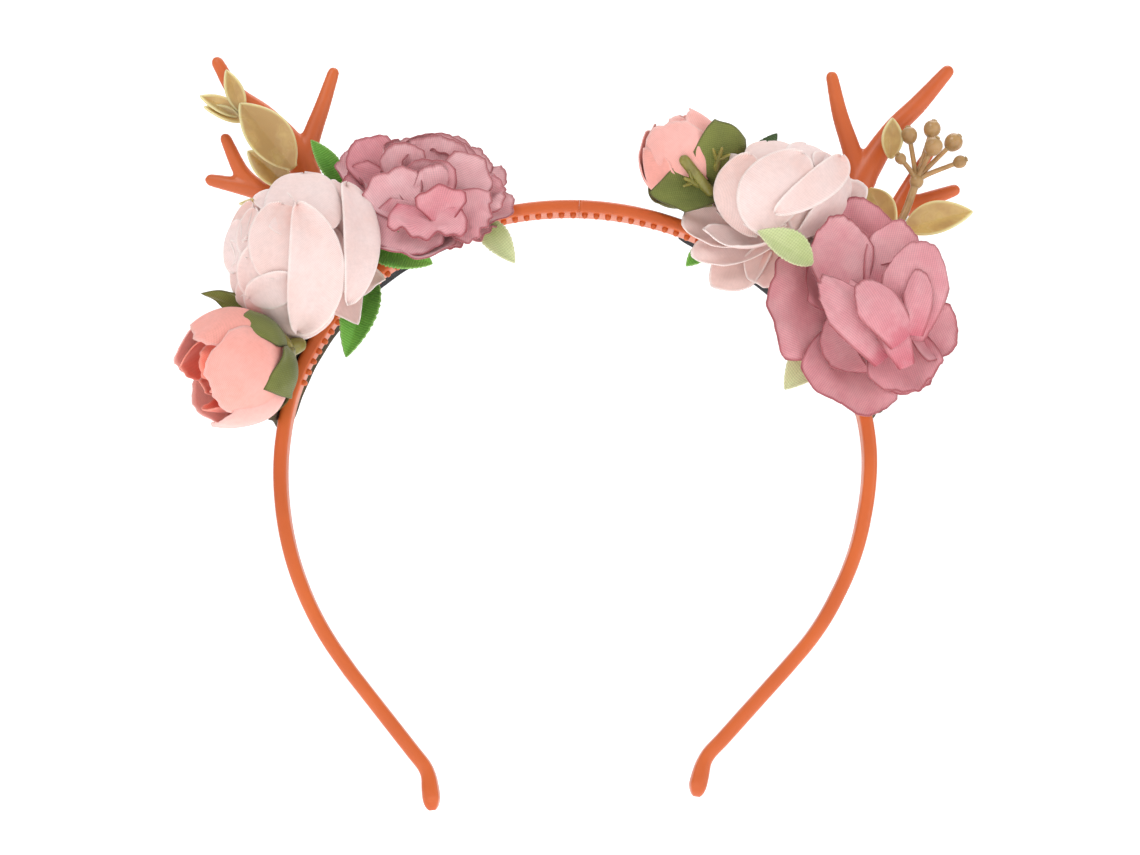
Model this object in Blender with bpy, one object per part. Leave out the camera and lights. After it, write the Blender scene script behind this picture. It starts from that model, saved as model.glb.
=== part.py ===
"""Floral deer-antler headband: a springy plastic hoop that carries two antlers, two felt pads,
four fabric roses, two rose buds, leaves and two moulded plastic sprigs.

Frame: origin at the apex of the hoop's inner face, +Z up, +X to the wearer's left when seen from
the front, -Y towards the front. All lengths below are millimetres; MM turns them into metres.
"""
import bmesh
import bpy
import numpy as np
from mathutils import Vector

MM = 0.001
GAP = 0.3                       # clearance kept between pieces that touch

# ---- hoop -----------------------------------------------------------------------------------
HEAD_HALF_WIDTH = 60.4          # inner face, centre line to the widest point
HEAD_ARCH_HEIGHT = 54.0         # apex down to the widest level
LEG_ARC_RADIUS = 60.0           # inner face below the widest level
LEG_ARC_DEG = 40.0
LEG_STRAIGHT = 27.5             # flat run of each leg, where it grips the head
KINK_RADIUS = 9.0               # tips turn back down
KINK_DEG = 34.0
TIP_LENGTH = 6.2
BAND_THICK = 3.0
BAND_WIDTH_TOP = 7.5
BAND_WIDTH_LEG = 6.0
TIP_BULGE = 1.18                # swelling of the rounded tip

CROWN_HALF = 12.0               # the hoop's flex line on each side, along the inner face
FLEX_GAP = 0.5                  # slit at the flex line

TOOTH_PITCH = 2.5
TOOTH_RADIUS = 0.6
TOOTH_HEIGHT = 1.0
TOOTH_Y = -1.9
TOOTH_SINK = 0.5
TEETH_END = 74.0                # last tooth, along the inner face from the apex

# ---- felt pads --------------------------------------------------------------------------------
FELT_THICK = 1.8
FELT_START = 21.5
FELT_END = 83.0
FELT_FRONT_Y = -7.0
FELT_BACK_Y = 15.0
FELT_BACK_DROP = 2.6            # the back edge bends in towards the head

# ---- flowers ----------------------------------------------------------------------------------
PETAL_THICK = 0.7
LAYER_STEP = 1.3                # rise of each petal layer's floor over the one below
BUD_STEP = PETAL_THICK + 4 * GAP     # the same inside a bud, where the walls are steep
FLOOR_RADIUS = 2.6
STALK_RADIUS = 1.5
LEAF_THICK = 0.6
LEAF_CUP = 0.12                 # rise of a blade's edges over its half width
LEAF_BOW = 0.06                 # bow of a blade over its length
LEAF_WIRE = 0.55                # radius of a leaf's wire

# ---- antlers ----------------------------------------------------------------------------------
ANTLER_Y = 6.0
ANTLER_FLATNESS = 0.85          # depth of a tine over its width
FOOT_RADIUS = 3.2
FOOT_THICK = 1.2

COLOURS = {
    "band": ((0.66, 0.16, 0.05), 0.32), "antler": ((0.66, 0.16, 0.055), 0.35),
    "felt": ((0.035, 0.032, 0.028), 0.95), "mauve": ((0.60, 0.27, 0.30), 0.85),
    "blush": ((0.88, 0.62, 0.57), 0.85), "coral": ((0.95, 0.43, 0.37), 0.8),
    "calyx": ((0.20, 0.19, 0.06), 0.45), "sepal": ((0.17, 0.18, 0.05), 0.8),
    "leaf_green": ((0.15, 0.38, 0.05), 0.75), "leaf_pale": ((0.60, 0.60, 0.38), 0.8),
    "leaf_dark": ((0.06, 0.12, 0.05), 0.8), "sprig": ((0.45, 0.29, 0.12), 0.4),
    "berry": ((0.38, 0.21, 0.11), 0.4),
}

for old in list(bpy.data.objects):
    bpy.data.objects.remove(old, do_unlink=True)


# ---- helpers ----------------------------------------------------------------------------------
def material(name):
    """One Principled material for each kind of surface."""
    found = bpy.data.materials.get(name)
    if found:
        return found
    colour, roughness = COLOURS[name]
    made = bpy.data.materials.new(name)
    made.use_nodes = True
    shader = made.node_tree.nodes["Principled BSDF"]
    shader.inputs["Base Color"].default_value = (*colour, 1.0)
    shader.inputs["Roughness"].default_value = roughness
    shader.inputs["Metallic"].default_value = 0.0
    return made


def unit(v):
    v = np.asarray(v, float)
    return v / np.linalg.norm(v)


def anchor(name, place, axis=None, parent=None):
    """An empty at `place`, its Z along `axis`; `parent` is another, unturned empty."""
    empty = bpy.data.objects.new(name, None)
    bpy.context.scene.collection.objects.link(empty)
    base = np.zeros(3) if parent is None else np.array(parent.location) / MM
    empty.location = (np.asarray(place, float) - base) * MM
    if axis is not None:
        empty.rotation_mode = "QUATERNION"
        empty.rotation_quaternion = Vector(axis).to_track_quat("Z", "Y")
    empty.parent = parent
    return empty


def piece(name, points, faces, look, parent=None, in_world=True):
    """Make one closed piece; world points are moved into the parent empty's frame."""
    points = np.asarray(points, float)
    if in_world and parent is not None:
        points = points - np.array(parent.location) / MM
    mesh = bpy.data.meshes.new(name)
    mesh.from_pydata((points * MM).tolist(), [], faces)
    work = bmesh.new()
    work.from_mesh(mesh)
    bmesh.ops.recalc_face_normals(work, faces=work.faces)
    work.to_mesh(mesh)
    work.free()
    mesh.shade_smooth()
    mesh.set_sharp_from_angle(angle=np.radians(40))
    mesh.materials.append(material(look))
    obj = bpy.data.objects.new(name, mesh)
    bpy.context.scene.collection.objects.link(obj)
    obj.parent = parent
    return obj


def loft(rings):
    """Closed skin over equal rings, with a flat cap at each end."""
    rings = np.asarray(rings, float)
    count, sides = rings.shape[:2]
    faces = []
    for i in range(count - 1):
        for j in range(sides):
            k = (j + 1) % sides
            faces.append((i * sides + j, i * sides + k, (i + 1) * sides + k, (i + 1) * sides + j))
    faces.append(tuple(range(sides))[::-1])
    faces.append(tuple(range((count - 1) * sides, count * sides)))
    return rings.reshape(-1, 3), faces


def bezier(p0, p1, p2, p3, count):
    """Points of a cubic curve."""
    t = np.linspace(0, 1, count)[:, None]
    p0, p1, p2, p3 = (np.asarray(p, float) for p in (p0, p1, p2, p3))
    return (1 - t) ** 3 * p0 + 3 * t * (1 - t) ** 2 * p1 + 3 * t * t * (1 - t) * p2 + t ** 3 * p3


def tube_rings(path, radii, sides=8, flat_axis=None, flatness=1.0, ends=None):
    """Round rings across a path; `flatness` squeezes them along `flat_axis`.

    `ends` gives the directions of the first and last ring, where the path's own are not exact.
    """
    path = np.asarray(path, float)
    along = np.gradient(path, axis=0)
    if ends is not None:
        along[0], along[-1] = ends
    guide = np.array(flat_axis if flat_axis is not None else (0.0, 1.0, 0.0))
    rings = []
    for centre, direction, radius in zip(path, along, radii):
        direction = unit(direction)
        across = np.cross(direction, guide)
        if np.linalg.norm(across) < 1e-3:
            across = np.cross(direction, (1.0, 0.0, 0.0))
        across = unit(across)
        depth = np.cross(direction, across)
        turn = np.arange(sides) * 2 * np.pi / sides
        rings.append(centre + radius * (np.cos(turn)[:, None] * across
                                        + flatness * np.sin(turn)[:, None] * depth))
    return rings


# ---- the hoop's curve -------------------------------------------------------------------------
def hoop_table():
    """Inner face of the right half in the XZ plane, as arc length, points and outward normals.

    A quarter ellipse from the apex to the widest level, then a round arc, a straight run, and a
    small reverse arc that turns the tip back down.
    """
    t = np.linspace(0, np.pi / 2, 400)
    points = [np.stack([HEAD_HALF_WIDTH * np.sin(t), HEAD_ARCH_HEIGHT * (np.cos(t) - 1)], 1)]
    x, z = points[0][-1]
    a = np.radians(np.linspace(0, LEG_ARC_DEG, 80))[1:]
    points.append(np.stack([x - LEG_ARC_RADIUS * (1 - np.cos(a)), z - LEG_ARC_RADIUS * np.sin(a)], 1))
    x, z = points[-1][-1]
    end = np.radians(LEG_ARC_DEG)
    d = np.linspace(0, LEG_STRAIGHT, 30)[1:, None]
    points.append(np.array([x, z]) + d * np.array([-np.sin(end), -np.cos(end)]))
    x, z = points[-1][-1]
    k = np.radians(np.linspace(0, KINK_DEG, 40))[1:]
    points.append(np.stack([x - KINK_RADIUS * (np.cos(end - k) - np.cos(end)),
                            z - KINK_RADIUS * (np.sin(end) - np.sin(end - k))], 1))
    x, z = points[-1][-1]
    last = end - np.radians(KINK_DEG)
    d = np.linspace(0, TIP_LENGTH, 12)[1:, None]
    points.append(np.array([x, z]) + d * np.array([-np.sin(last), -np.cos(last)]))
    points = np.concatenate(points)
    along = np.gradient(points, axis=0)
    along /= np.linalg.norm(along, axis=1)[:, None]
    normals = np.stack([-along[:, 1], along[:, 0]], 1)
    length = np.concatenate([[0], np.cumsum(np.linalg.norm(np.diff(points, axis=0), axis=1))])
    return length, points, normals


ARC, HOOP, OUT = hoop_table()
HOOP_LENGTH = ARC[-1]


def hoop(side, s, offset=0.0, y=0.0):
    """World point at arc length `s` from the apex, `offset` outside the inner face."""
    x, z = np.interp(s, ARC, HOOP[:, 0]), np.interp(s, ARC, HOOP[:, 1])
    nx, nz = np.interp(s, ARC, OUT[:, 0]), np.interp(s, ARC, OUT[:, 1])
    return np.array([side * (x + offset * nx), y, z + offset * nz])


def hoop_normal(side, s):
    return unit([side * np.interp(s, ARC, OUT[:, 0]), 0, np.interp(s, ARC, OUT[:, 1])])


def band_half_width(s):
    """Half of the band's width in Y: widest on top of the head."""
    return 0.5 * np.interp(s, [0, 60, HOOP_LENGTH], [BAND_WIDTH_TOP, BAND_WIDTH_LEG, BAND_WIDTH_LEG])


def band_section(side, s, swell=1.0):
    """D-shaped section: flat inner face, chamfered edges and a rounded outer face."""
    w = band_half_width(s) * min(1.0, swell)
    mid = BAND_THICK / 2
    outline = [(0.0, -w + 0.5), (0.0, w - 0.5), (0.5, w), (1.7, w), (2.6, w - 0.8), (BAND_THICK, w - 2.0),
               (BAND_THICK, -w + 2.0), (2.6, -w + 0.8), (1.7, -w), (0.5, -w)]
    return [hoop(side, s, mid + (o - mid) * swell, y * min(1.0, swell) if swell < 1 else y)
            for o, y in outline]


def teeth(side, first, last):
    """Round-topped pegs on the inner face, sunk into the band, as one guide mesh."""
    points, faces = [], []
    s = first
    while s <= last:
        root, out = hoop(side, s, TOOTH_SINK, TOOTH_Y), -hoop_normal(side, s)
        path = [root, root + out * (TOOTH_SINK + 0.65 * TOOTH_HEIGHT), root + out * (TOOTH_SINK + TOOTH_HEIGHT)]
        rings = tube_rings(path, [TOOTH_RADIUS, TOOTH_RADIUS, 0.5 * TOOTH_RADIUS], sides=6)
        ring_points, ring_faces = loft(rings)
        faces += [tuple(i + len(points) for i in face) for face in ring_faces]
        points += ring_points.tolist()
        s += TOOTH_PITCH
    return points, faces


def unite(target, guide):
    """Join a guide to a piece, and keep the guide out of sight."""
    guide.hide_render = True
    guide.display_type = "WIRE"
    union = target.modifiers.new("join_" + guide.name, "BOOLEAN")
    union.operation = "UNION"
    union.solver = "EXACT"
    union.object = guide


# ---- hoop pieces ------------------------------------------------------------------------------
PIVOT = {side: hoop(side, CROWN_HALF, BAND_THICK) for side in (-1, 1)}
SIDE_NAME = {-1: "left", 1: "right"}
HINGE = {side: anchor(SIDE_NAME[side] + "_flex_axis", PIVOT[side]) for side in (-1, 1)}


def build_crown():
    edge = CROWN_HALF - FLEX_GAP / 2
    rings = [band_section(np.sign(s) or 1, abs(s)) for s in np.linspace(-edge, edge, 9)]
    band = piece("band_crown", *loft(rings), "band")
    pegs = []
    for side in (-1, 1):
        first = TOOTH_PITCH / 2
        pegs.append(piece(f"crown_teeth_{SIDE_NAME[side]}", *teeth(side, first, edge - TOOTH_RADIUS), "band"))
    for guide in pegs:
        unite(band, guide)


def build_side_band(side):
    start = CROWN_HALF + FLEX_GAP / 2
    flat_from, flat_to = leg_straight_span()
    stations = np.concatenate([np.linspace(start, flat_from, 22), np.linspace(flat_to, HOOP_LENGTH - 2.5, 5)])
    rings = [band_section(side, s) for s in stations]
    for s, swell in ((HOOP_LENGTH - 1.6, TIP_BULGE), (HOOP_LENGTH - 0.6, 0.95), (HOOP_LENGTH, 0.55)):
        rings.append(band_section(side, s, swell))
    band = piece(f"band_{SIDE_NAME[side]}", *loft(rings), "band", HINGE[side])
    first = TOOTH_PITCH / 2
    while first < start + TOOTH_RADIUS + FLEX_GAP:
        first += TOOTH_PITCH
    guide = piece(f"teeth_{SIDE_NAME[side]}", *teeth(side, first, TEETH_END), "band", HINGE[side])
    unite(band, guide)


def leg_straight_span():
    """Arc lengths at which the flat run of a leg begins and ends."""
    tail = np.radians(KINK_DEG) * KINK_RADIUS + TIP_LENGTH
    return HOOP_LENGTH - tail - LEG_STRAIGHT, HOOP_LENGTH - tail


def felt_offset(y):
    """Height of the pad's underside over the band's inner face: flat on the band, bent in behind it."""
    behind = np.clip((y - BAND_WIDTH_TOP / 2 - GAP) / (FELT_BACK_Y - BAND_WIDTH_TOP / 2 - GAP), 0, 1)
    return BAND_THICK + GAP - FELT_BACK_DROP * behind ** 1.5


def felt_top(side, s, y, lift=GAP):
    """A point just over the pad's outer face."""
    return hoop(side, s, felt_offset(y) + FELT_THICK + lift, y)


def build_felt(side):
    across = [FELT_FRONT_Y, BAND_WIDTH_TOP / 2 + GAP, 0.6 * FELT_BACK_Y, FELT_BACK_Y]
    rings = []
    for s in np.linspace(FELT_START, FELT_END, 14):
        under = [hoop(side, s, felt_offset(y), y) for y in across]
        over = [hoop(side, s, felt_offset(y) + FELT_THICK, y) for y in reversed(across)]
        rings.append(under + over)
    piece(f"felt_{SIDE_NAME[side]}", *loft(rings), "felt", HINGE[side])


# ---- antlers ----------------------------------------------------------------------------------
def tine(name, side, points, radii):
    """One tine: an oval tube along a smooth line through `points` in the antler's plane, round at its tip."""
    points = np.array(points, float)
    t = np.linspace(0, len(points) - 1, 3 * (len(points) - 1) + 1)
    smooth = np.stack([catmull(points[:, i], t) for i in (0, 1)], 1)
    path = np.stack([smooth[:, 0], np.full(len(t), ANTLER_Y), smooth[:, 1]], 1)
    radius = np.interp(t, np.arange(len(points)), radii)
    tip = unit(path[-1] - path[-2])
    path = np.concatenate([path, [path[-1] + tip * 0.6 * radius[-1], path[-1] + tip * radius[-1]]])
    radius = np.concatenate([radius, [0.78 * radius[-1], 0.3 * radius[-1]]])
    rings = tube_rings(path, radius, 8, (0, 1, 0), ANTLER_FLATNESS)
    return piece(name, *loft(rings), "antler", HINGE[side])


def catmull(values, t):
    """Catmull-Rom values through evenly spaced knots."""
    knots = np.concatenate([[2 * values[0] - values[1]], values, [2 * values[-1] - values[-2]]])
    i = np.clip(t.astype(int), 0, len(values) - 2)
    u = t - i
    a, b, c, d = (knots[i + k] for k in range(4))
    return 0.5 * (2 * b + (c - a) * u + (2 * a - 5 * b + 4 * c - d) * u ** 2 + (3 * b - a - 3 * c + d) * u ** 3)


ANTLERS = {
    -1: {"foot": 51.0, "tines": {
        "beam": ([(-56.5, 3.5), (-61.5, 13.5), (-68.5, 21.5), (-75.5, 26.5), (-79.0, 31.5)], [2.3, 2.6, 1.9, 1.7, 1.3]),
        "upright": ([(-60.5, 10.5), (-58.6, 17.5), (-56.6, 24.0), (-54.7, 30.2)], [2.2, 1.9, 1.6, 1.25]),
        "fork": ([(-56.0, 0.5), (-63.0, 2.6), (-70.0, 5.0), (-79.0, 6.3)], [2.2, 2.1, 2.0, 1.3]),
        "spur": ([(-69.5, 4.8), (-73.5, 8.6), (-76.7, 15.0)], [1.8, 1.6, 1.25]),
    }},
    1: {"foot": 50.0, "tines": {
        "beam": ([(57.5, 3.5), (61.8, 12.5), (67.5, 22.0), (73.5, 28.6), (78.6, 34.6)], [2.4, 2.8, 2.2, 1.9, 1.4]),
        "upright": ([(61.0, 11.0), (58.8, 18.0), (56.3, 25.5), (54.5, 32.5)], [2.3, 2.0, 1.6, 1.3]),
        "fork": ([(57.0, 0.5), (64.0, 2.2), (71.0, 5.4), (80.5, 8.8)], [2.2, 2.1, 1.9, 1.3]),
        "spur": ([(69.5, 4.6), (72.0, 11.0), (76.0, 17.8)], [1.8, 1.5, 1.25]),
    }},
}


def build_antler(side):
    """A foot on the pad, a root that bends up from it, and four tines, joined into one moulding."""
    spec = ANTLERS[side]
    foot = felt_top(side, spec["foot"], ANTLER_Y)
    normal = hoop_normal(side, spec["foot"])
    first = spec["tines"]["beam"][0][0]
    head = np.array([first[0], ANTLER_Y, first[1]])
    lift = unit(head - foot)
    path = bezier(foot + normal * FOOT_THICK, foot + normal * 6.0, head - lift * 3.0, head + lift * 1.0, 7)
    rings = [tube_rings([foot, foot + normal], [FOOT_RADIUS] * 2)[0]]
    rings += tube_rings([foot + normal * FOOT_THICK * 0.6, foot + normal * FOOT_THICK * 1.6],
                        [FOOT_RADIUS, 2.6])
    rings += tube_rings(path, np.linspace(2.5, 2.3, 7))[1:]
    name = f"antler_{SIDE_NAME[side]}"
    antler = piece(name, *loft(rings), "antler", HINGE[side])
    for label, (points, radii) in spec["tines"].items():
        unite(antler, tine(f"{name}_{label}_guide", side, points, radii))


# ---- flowers ----------------------------------------------------------------------------------
def shell(outer, lobes, notch, thick, sides, rows, solid=False):
    """A petal layer turned from a profile, its rim cut back between the lobes.

    `outer` gives radius and height for values from 0 at the floor to 1 at the rim. The inner wall
    lies `thick` inside it. A solid layer is closed by a low dome instead.
    """
    turn = np.arange(sides) * 2 * np.pi / sides
    reach = 1 - notch * (0.5 + 0.5 * np.cos(lobes * turn)) ** 2
    v = np.linspace(0, 1, rows + 1)[:, None] * reach[None, :]
    step = 1e-3
    radius, height = outer(v)
    ahead_radius, ahead_height = outer(v + step)
    dr, dz = ahead_radius - radius, ahead_height - height
    norm = np.hypot(dr, dz)
    around = np.stack([np.cos(turn), np.sin(turn)], 1)

    def ring(r, z):
        return np.concatenate([r[:, None] * around, z[:, None]], 1)

    outside = [ring(radius[i], height[i]) for i in range(rows + 1)]
    if solid:
        top = outside[-1].copy()
        top[:, :2] *= 0.55
        top[:, 2] += 1.4
        return loft(outside + [top])
    inner_r, inner_z = radius - thick * dz / norm, height + thick * dr / norm
    inner_r[0] = radius[0] * 0.75
    inner_z[0] = height[0] + thick
    inside = [ring(inner_r[i], inner_z[i]) for i in range(rows, -1, -1)]
    return loft(outside + inside)


def bowl(rim_radius, rim_height, floor, curve):
    """Profile of an open petal layer: a bowl that starts flat and steepens."""
    def profile(v):
        return FLOOR_RADIUS + (rim_radius - FLOOR_RADIUS) * v, floor + (rim_height - floor) * v ** curve
    return profile


def pod(greatest_radius, length, start, stop=1.0, inset=0.0):
    """Profile of a closed bud, from height `start` to `stop` times its length: it swells and draws in again."""
    def profile(v):
        height = start + (stop * length - start) * v
        swell = np.sin(np.pi * (0.12 + 0.62 * height / length)) ** 0.75
        return greatest_radius * swell - inset, height
    return profile


ROSES = {
    "rose_mauve_left": dict(side=-1, look="mauve", root=(33.5, -2.5), head=(-32.5, -11.0, 1.6),
                            axis=(0.06, -0.58, 0.81), spin=15,
                            layers=[(18.8, 3.6, 1.5), (15.6, 8.5, 1.7), (11.4, 12.0, 1.8)], heart=(6.4, 12.5)),
    "rose_blush_left": dict(side=-1, look="blush", root=(57.0, -3.0), head=(-55.0, -15.0, -14.5),
                            axis=(-0.56, -0.81, 0.12), spin=15,
                            layers=[(16.6, 4.5, 1.5), (13.8, 9.0, 1.7), (10.2, 12.5, 1.8)], heart=(6.2, 14.0)),
    "rose_blush_right": dict(side=1, look="blush", root=(45.0, -3.0), head=(43.0, -12.0, -1.0),
                             axis=(-0.02, -0.62, 0.78), spin=15,
                             layers=[(17.8, 3.6, 1.5), (14.8, 8.5, 1.7), (11.0, 12.0, 1.8)], heart=(6.6, 13.0)),
    "rose_mauve_right": dict(side=1, look="mauve", root=(67.0, -3.0), head=(60.0, -16.8, -22.8),
                             axis=(0.20, -0.97, 0.12), spin=36,
                             layers=[(20.4, 4.5, 1.5), (16.4, 9.5, 1.7), (12.0, 13.0, 1.8)], heart=(7.0, 14.0)),
}
BUDS = {
    "bud_left": dict(side=-1, root=(71.0, -4.5), head=(-61.5, -16.5, -33.5), axis=(-0.86, -0.22, -0.46),
                     radius=11.4, length=22.0),
    "bud_right": dict(side=1, root=(26.5, -3.5), head=(25.5, -6.5, 3.0), axis=(-0.50, -0.25, 0.83),
                      radius=9.2, length=19.0),
}


def stalk(name, spec, neck_radius, look):
    """Plastic stalk that stands on the pad and bends into line with the flower's axis."""
    side = spec["side"]
    s, y = spec["root"]
    foot, normal = felt_top(side, s, y), hoop_normal(side, s)
    head, axis = np.array(spec["head"], float), unit(spec["axis"])
    reach = 0.45 * np.linalg.norm(head - foot)
    path = bezier(foot, foot + normal * reach, head - axis * reach, head, 8)
    radii = np.interp(np.linspace(0, 1, 8), [0, 0.15, 0.7, 1], [2.2, STALK_RADIUS, STALK_RADIUS, neck_radius])
    rings = tube_rings(path, radii, 8, ends=(normal, axis))
    piece(name, *loft(rings), look, HINGE[side])


def build_rose(name, spec):
    stalk(name + "_calyx", spec, FLOOR_RADIUS - 0.2, "calyx")
    place = np.array(spec["head"]) + unit(spec["axis"]) * GAP
    centre = anchor(name + "_axis", place, spec["axis"], HINGE[spec["side"]])
    names = ("outer_petals", "middle_petals", "inner_petals")
    for i, (label, (radius, height, curve)) in enumerate(zip(names, spec["layers"])):
        profile = bowl(radius, height, i * LAYER_STEP, curve)
        points, faces = shell(profile, 5, 0.20, PETAL_THICK, 20, 3)
        layer = piece(f"{name}_{label}", points, faces, spec["look"], centre, in_world=False)
        layer.rotation_euler.z = np.radians(36 * i + spec["spin"])
    heart_radius, heart_height = spec["heart"]
    profile = bowl(heart_radius, heart_height, len(names) * LAYER_STEP, 2.2)
    points, faces = shell(profile, 3, 0.08, PETAL_THICK, 12, 4, solid=True)
    piece(name + "_heart", points, faces, spec["look"], centre, in_world=False)


def build_bud(name, spec):
    stalk(name + "_calyx", spec, 2.8, "calyx")
    place = np.array(spec["head"]) + unit(spec["axis"]) * GAP
    centre = anchor(name + "_axis", place, spec["axis"], HINGE[spec["side"]])
    radius, length = spec["radius"], spec["length"]
    skins = ((name + "_sepals", pod(radius, length, 0.0, 0.62), 4, 0.5, "sepal", False),
             (name + "_outer_petals", pod(radius, length, BUD_STEP, 1.0, BUD_STEP), 3, 0.14, "coral", False),
             (name + "_heart", pod(radius, length, 2 * BUD_STEP, 0.9, 2 * BUD_STEP), 3, 0.1, "coral", True))
    for label, profile, lobes, notch, look, solid in skins:
        points, faces = shell(profile, lobes, notch, PETAL_THICK, 16, 5, solid)
        piece(label, points, faces, look, centre, in_world=False)


# ---- leaves and sprigs ------------------------------------------------------------------------
def leaf(name, side, root, base, tip, width, look):
    """A pointed blade from `base` to `tip` that faces the front, on a wire that starts at `root`.

    `root` is an arc length on the pad's front edge, an arc length and a Y on its outer face, or a
    point in space. The blade is cupped across and
    bowed along; the wire follows a smooth curve into the blade's own direction.
    """
    if len(root) == 1:
        edge_y = FELT_FRONT_Y - GAP - LEAF_WIRE
        root = hoop(side, root[0], felt_offset(edge_y) + FELT_THICK / 2, edge_y)
    elif len(root) == 2:
        root = felt_top(side, *root)
    root = np.array(root, float)
    base, tip = np.array(base, float), np.array(tip, float)
    length = np.linalg.norm(tip - base)
    along = (tip - base) / length
    across = unit(np.cross(along, (0.0, -1.0, 0.0)))
    normal = np.cross(across, along)
    rings = []
    for t in np.linspace(0, 1, 6)[::-1]:
        half = 0.5 * width * max(np.sin(np.pi * t ** 0.85), 0.14)
        middle = base + along * t * length + normal * LEAF_BOW * length * np.sin(np.pi * t)
        rise = normal * LEAF_CUP * half
        row = [middle - across * half + rise, middle, middle + across * half + rise]
        rings.append([p + normal * LEAF_THICK / 2 for p in row] + [p - normal * LEAF_THICK / 2 for p in row[::-1]])
    reach = 0.4 * np.linalg.norm(base - root)
    leave = unit(base - root)
    path = bezier(base, base - along * reach, root + leave * reach, root, 5)
    for before, here in zip(path[:-1], path[1:]):
        way = unit(before - here)
        across = unit(across - way * np.dot(across, way))
        normal = np.cross(across, way)
        side_step, rise = across * LEAF_WIRE * 0.87, normal * LEAF_WIRE * 0.5
        rings.append([here - side_step + rise, here + 2 * rise, here + side_step + rise,
                      here + side_step - rise, here - 2 * rise, here - side_step - rise])
    piece(name, *loft(rings), look, HINGE[side])


LEAVES = {
    "leaf_green_a": (-1, (50.0, 1.5), (-50.6, 0.0, 4.0), (-57.2, 0.2, 13.9), 5.4, "leaf_green"),
    "leaf_green_b": (-1, (49.0,), (-43.4, -8.6, -9.4), (-30.6, -9.2, -12.6), 6.6, "leaf_green"),
    "leaf_green_c": (-1, (62.0,), (-48.4, -9.2, -20.0), (-46.9, -9.6, -34.2), 6.4, "leaf_green"),
    "leaf_pale_d": (-1, (25.0,), (-20.6, -8.8, -4.0), (-13.9, -9.2, -11.8), 5.2, "leaf_pale"),
    "leaf_pale_e": (1, (55.0,), (49.6, -17.5, -16.0), (38.4, -22.5, -12.0), 5.0, "leaf_pale"),
    "leaf_pale_f": (1, (70.0,), (53.4, -9.2, -29.5), (44.4, -9.4, -38.8), 7.2, "leaf_pale"),
    "leaf_dark_g": (1, (36.0, 6.0), (35.0, 4.0, 8.0), (41.4, 3.0, 19.7), 5.0, "leaf_dark"),
    "leaf_green_h": (1, (30.0,), (27.2, -8.8, -8.4), (22.4, -9.2, -13.2), 3.4, "leaf_green"),
}
SPRIG_LEAVES = {
    "sprig_left_oval_leaf": (-1, (-64.8, 0.2, 6.0), (-62.6, -1.8, 10.4), (-73.6, -1.6, 22.9), 10.4, "sprig"),
    "sprig_left_low_leaf": (-1, (-62.9, 0.6, 1.8), (-66.4, 0.9, 6.8), (-72.0, 0.9, 11.8), 4.0, "sprig"),
    "sprig_left_thin_leaf": (-1, (-61.6, 0.5, -1.8), (-66.0, 0.4, 0.6), (-72.6, 0.2, 0.6), 2.0, "sprig"),
    "sprig_left_lobe_a": (-1, (-74.7, 1.6, 22.8), (-75.2, 1.0, 25.0), (-76.8, 0.6, 31.6), 3.6, "sprig"),
    "sprig_left_lobe_b": (-1, (-75.3, 1.8, 21.6), (-77.0, 1.2, 22.9), (-82.5, 0.6, 25.6), 3.0, "sprig"),
    "sprig_left_lobe_c": (-1, (-75.0, 1.8, 20.6), (-76.8, 1.2, 20.6), (-82.4, 0.6, 20.8), 2.2, "sprig"),
    "sprig_right_leaf_out": (1, (68.0, 0.4, -3.4), (71.8, 0.4, 1.0), (84.4, 0.6, 3.4), 6.6, "sprig"),
    "sprig_right_leaf_in": (1, (66.2, -2.2, -2.4), (62.0, -4.8, 5.0), (65.8, -6.0, -2.6), 5.2, "sprig"),
    "sprig_right_oval_leaf": (1, (68.0, 1.0, 0.4), (67.6, 1.2, 15.6), (66.2, 1.4, 24.0), 4.0, "sprig"),
}
BERRY_HUB = (72.3, 0.0, 9.6)
BERRY_HUB_RADIUS = 1.5
BERRIES = {
    "berry_a": ((70.6, -0.5, 19.6), 1.6), "berry_b": ((75.6, 0.5, 21.4), 1.7),
    "berry_c": ((75.4, -3.2, 16.6), 1.8), "berry_d": ((80.2, 0.5, 18.6), 1.8),
    "berry_e": ((81.4, -1.0, 14.0), 1.2), "berry_f": ((68.6, -2.2, 14.0), 1.0),
}


def wire(name, side, root, points, radius, look, ball=0.0):
    """A moulded stem that rises from the pad through `points` and ends round, or in a ball."""
    s, y = root
    start = felt_top(side, s, y, 2 * GAP)
    knots = np.array([start, start + hoop_normal(side, s) * 3.0, *points], float)
    t = np.linspace(0, len(knots) - 1, 3 * (len(knots) - 1) + 1)
    path = np.stack([catmull(knots[:, i], t) for i in range(3)], 1)
    radii = np.full(len(path), radius)
    if ball:
        way = unit(path[-1] - path[-2])
        turn = np.radians([-50, -15, 15, 50, 78])
        path = np.concatenate([path[:-1], path[-1] + np.sin(turn)[:, None] * way * ball])
        radii = np.concatenate([radii[:-1], np.cos(turn) * ball])
    piece(name, *loft(tube_rings(path, radii, 8)), look, HINGE[side])


def berry(name, centre, radius):
    """A round berry on its own fine stalk, which stops just short of the hub."""
    hub, centre = np.array(BERRY_HUB), np.array(centre, float)
    way = unit(centre - hub)
    start = hub + way * (BERRY_HUB_RADIUS + GAP)
    turn = np.radians([-62, -30, 0, 30, 60, 80])
    path = np.concatenate([[start, centre - way * radius * 1.05], centre + np.sin(turn)[:, None] * way * radius])
    radii = np.concatenate([[0.42, 0.42], np.cos(turn) * radius])
    piece(name, *loft(tube_rings(path, radii, 8)), "berry", HINGE[1])


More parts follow.
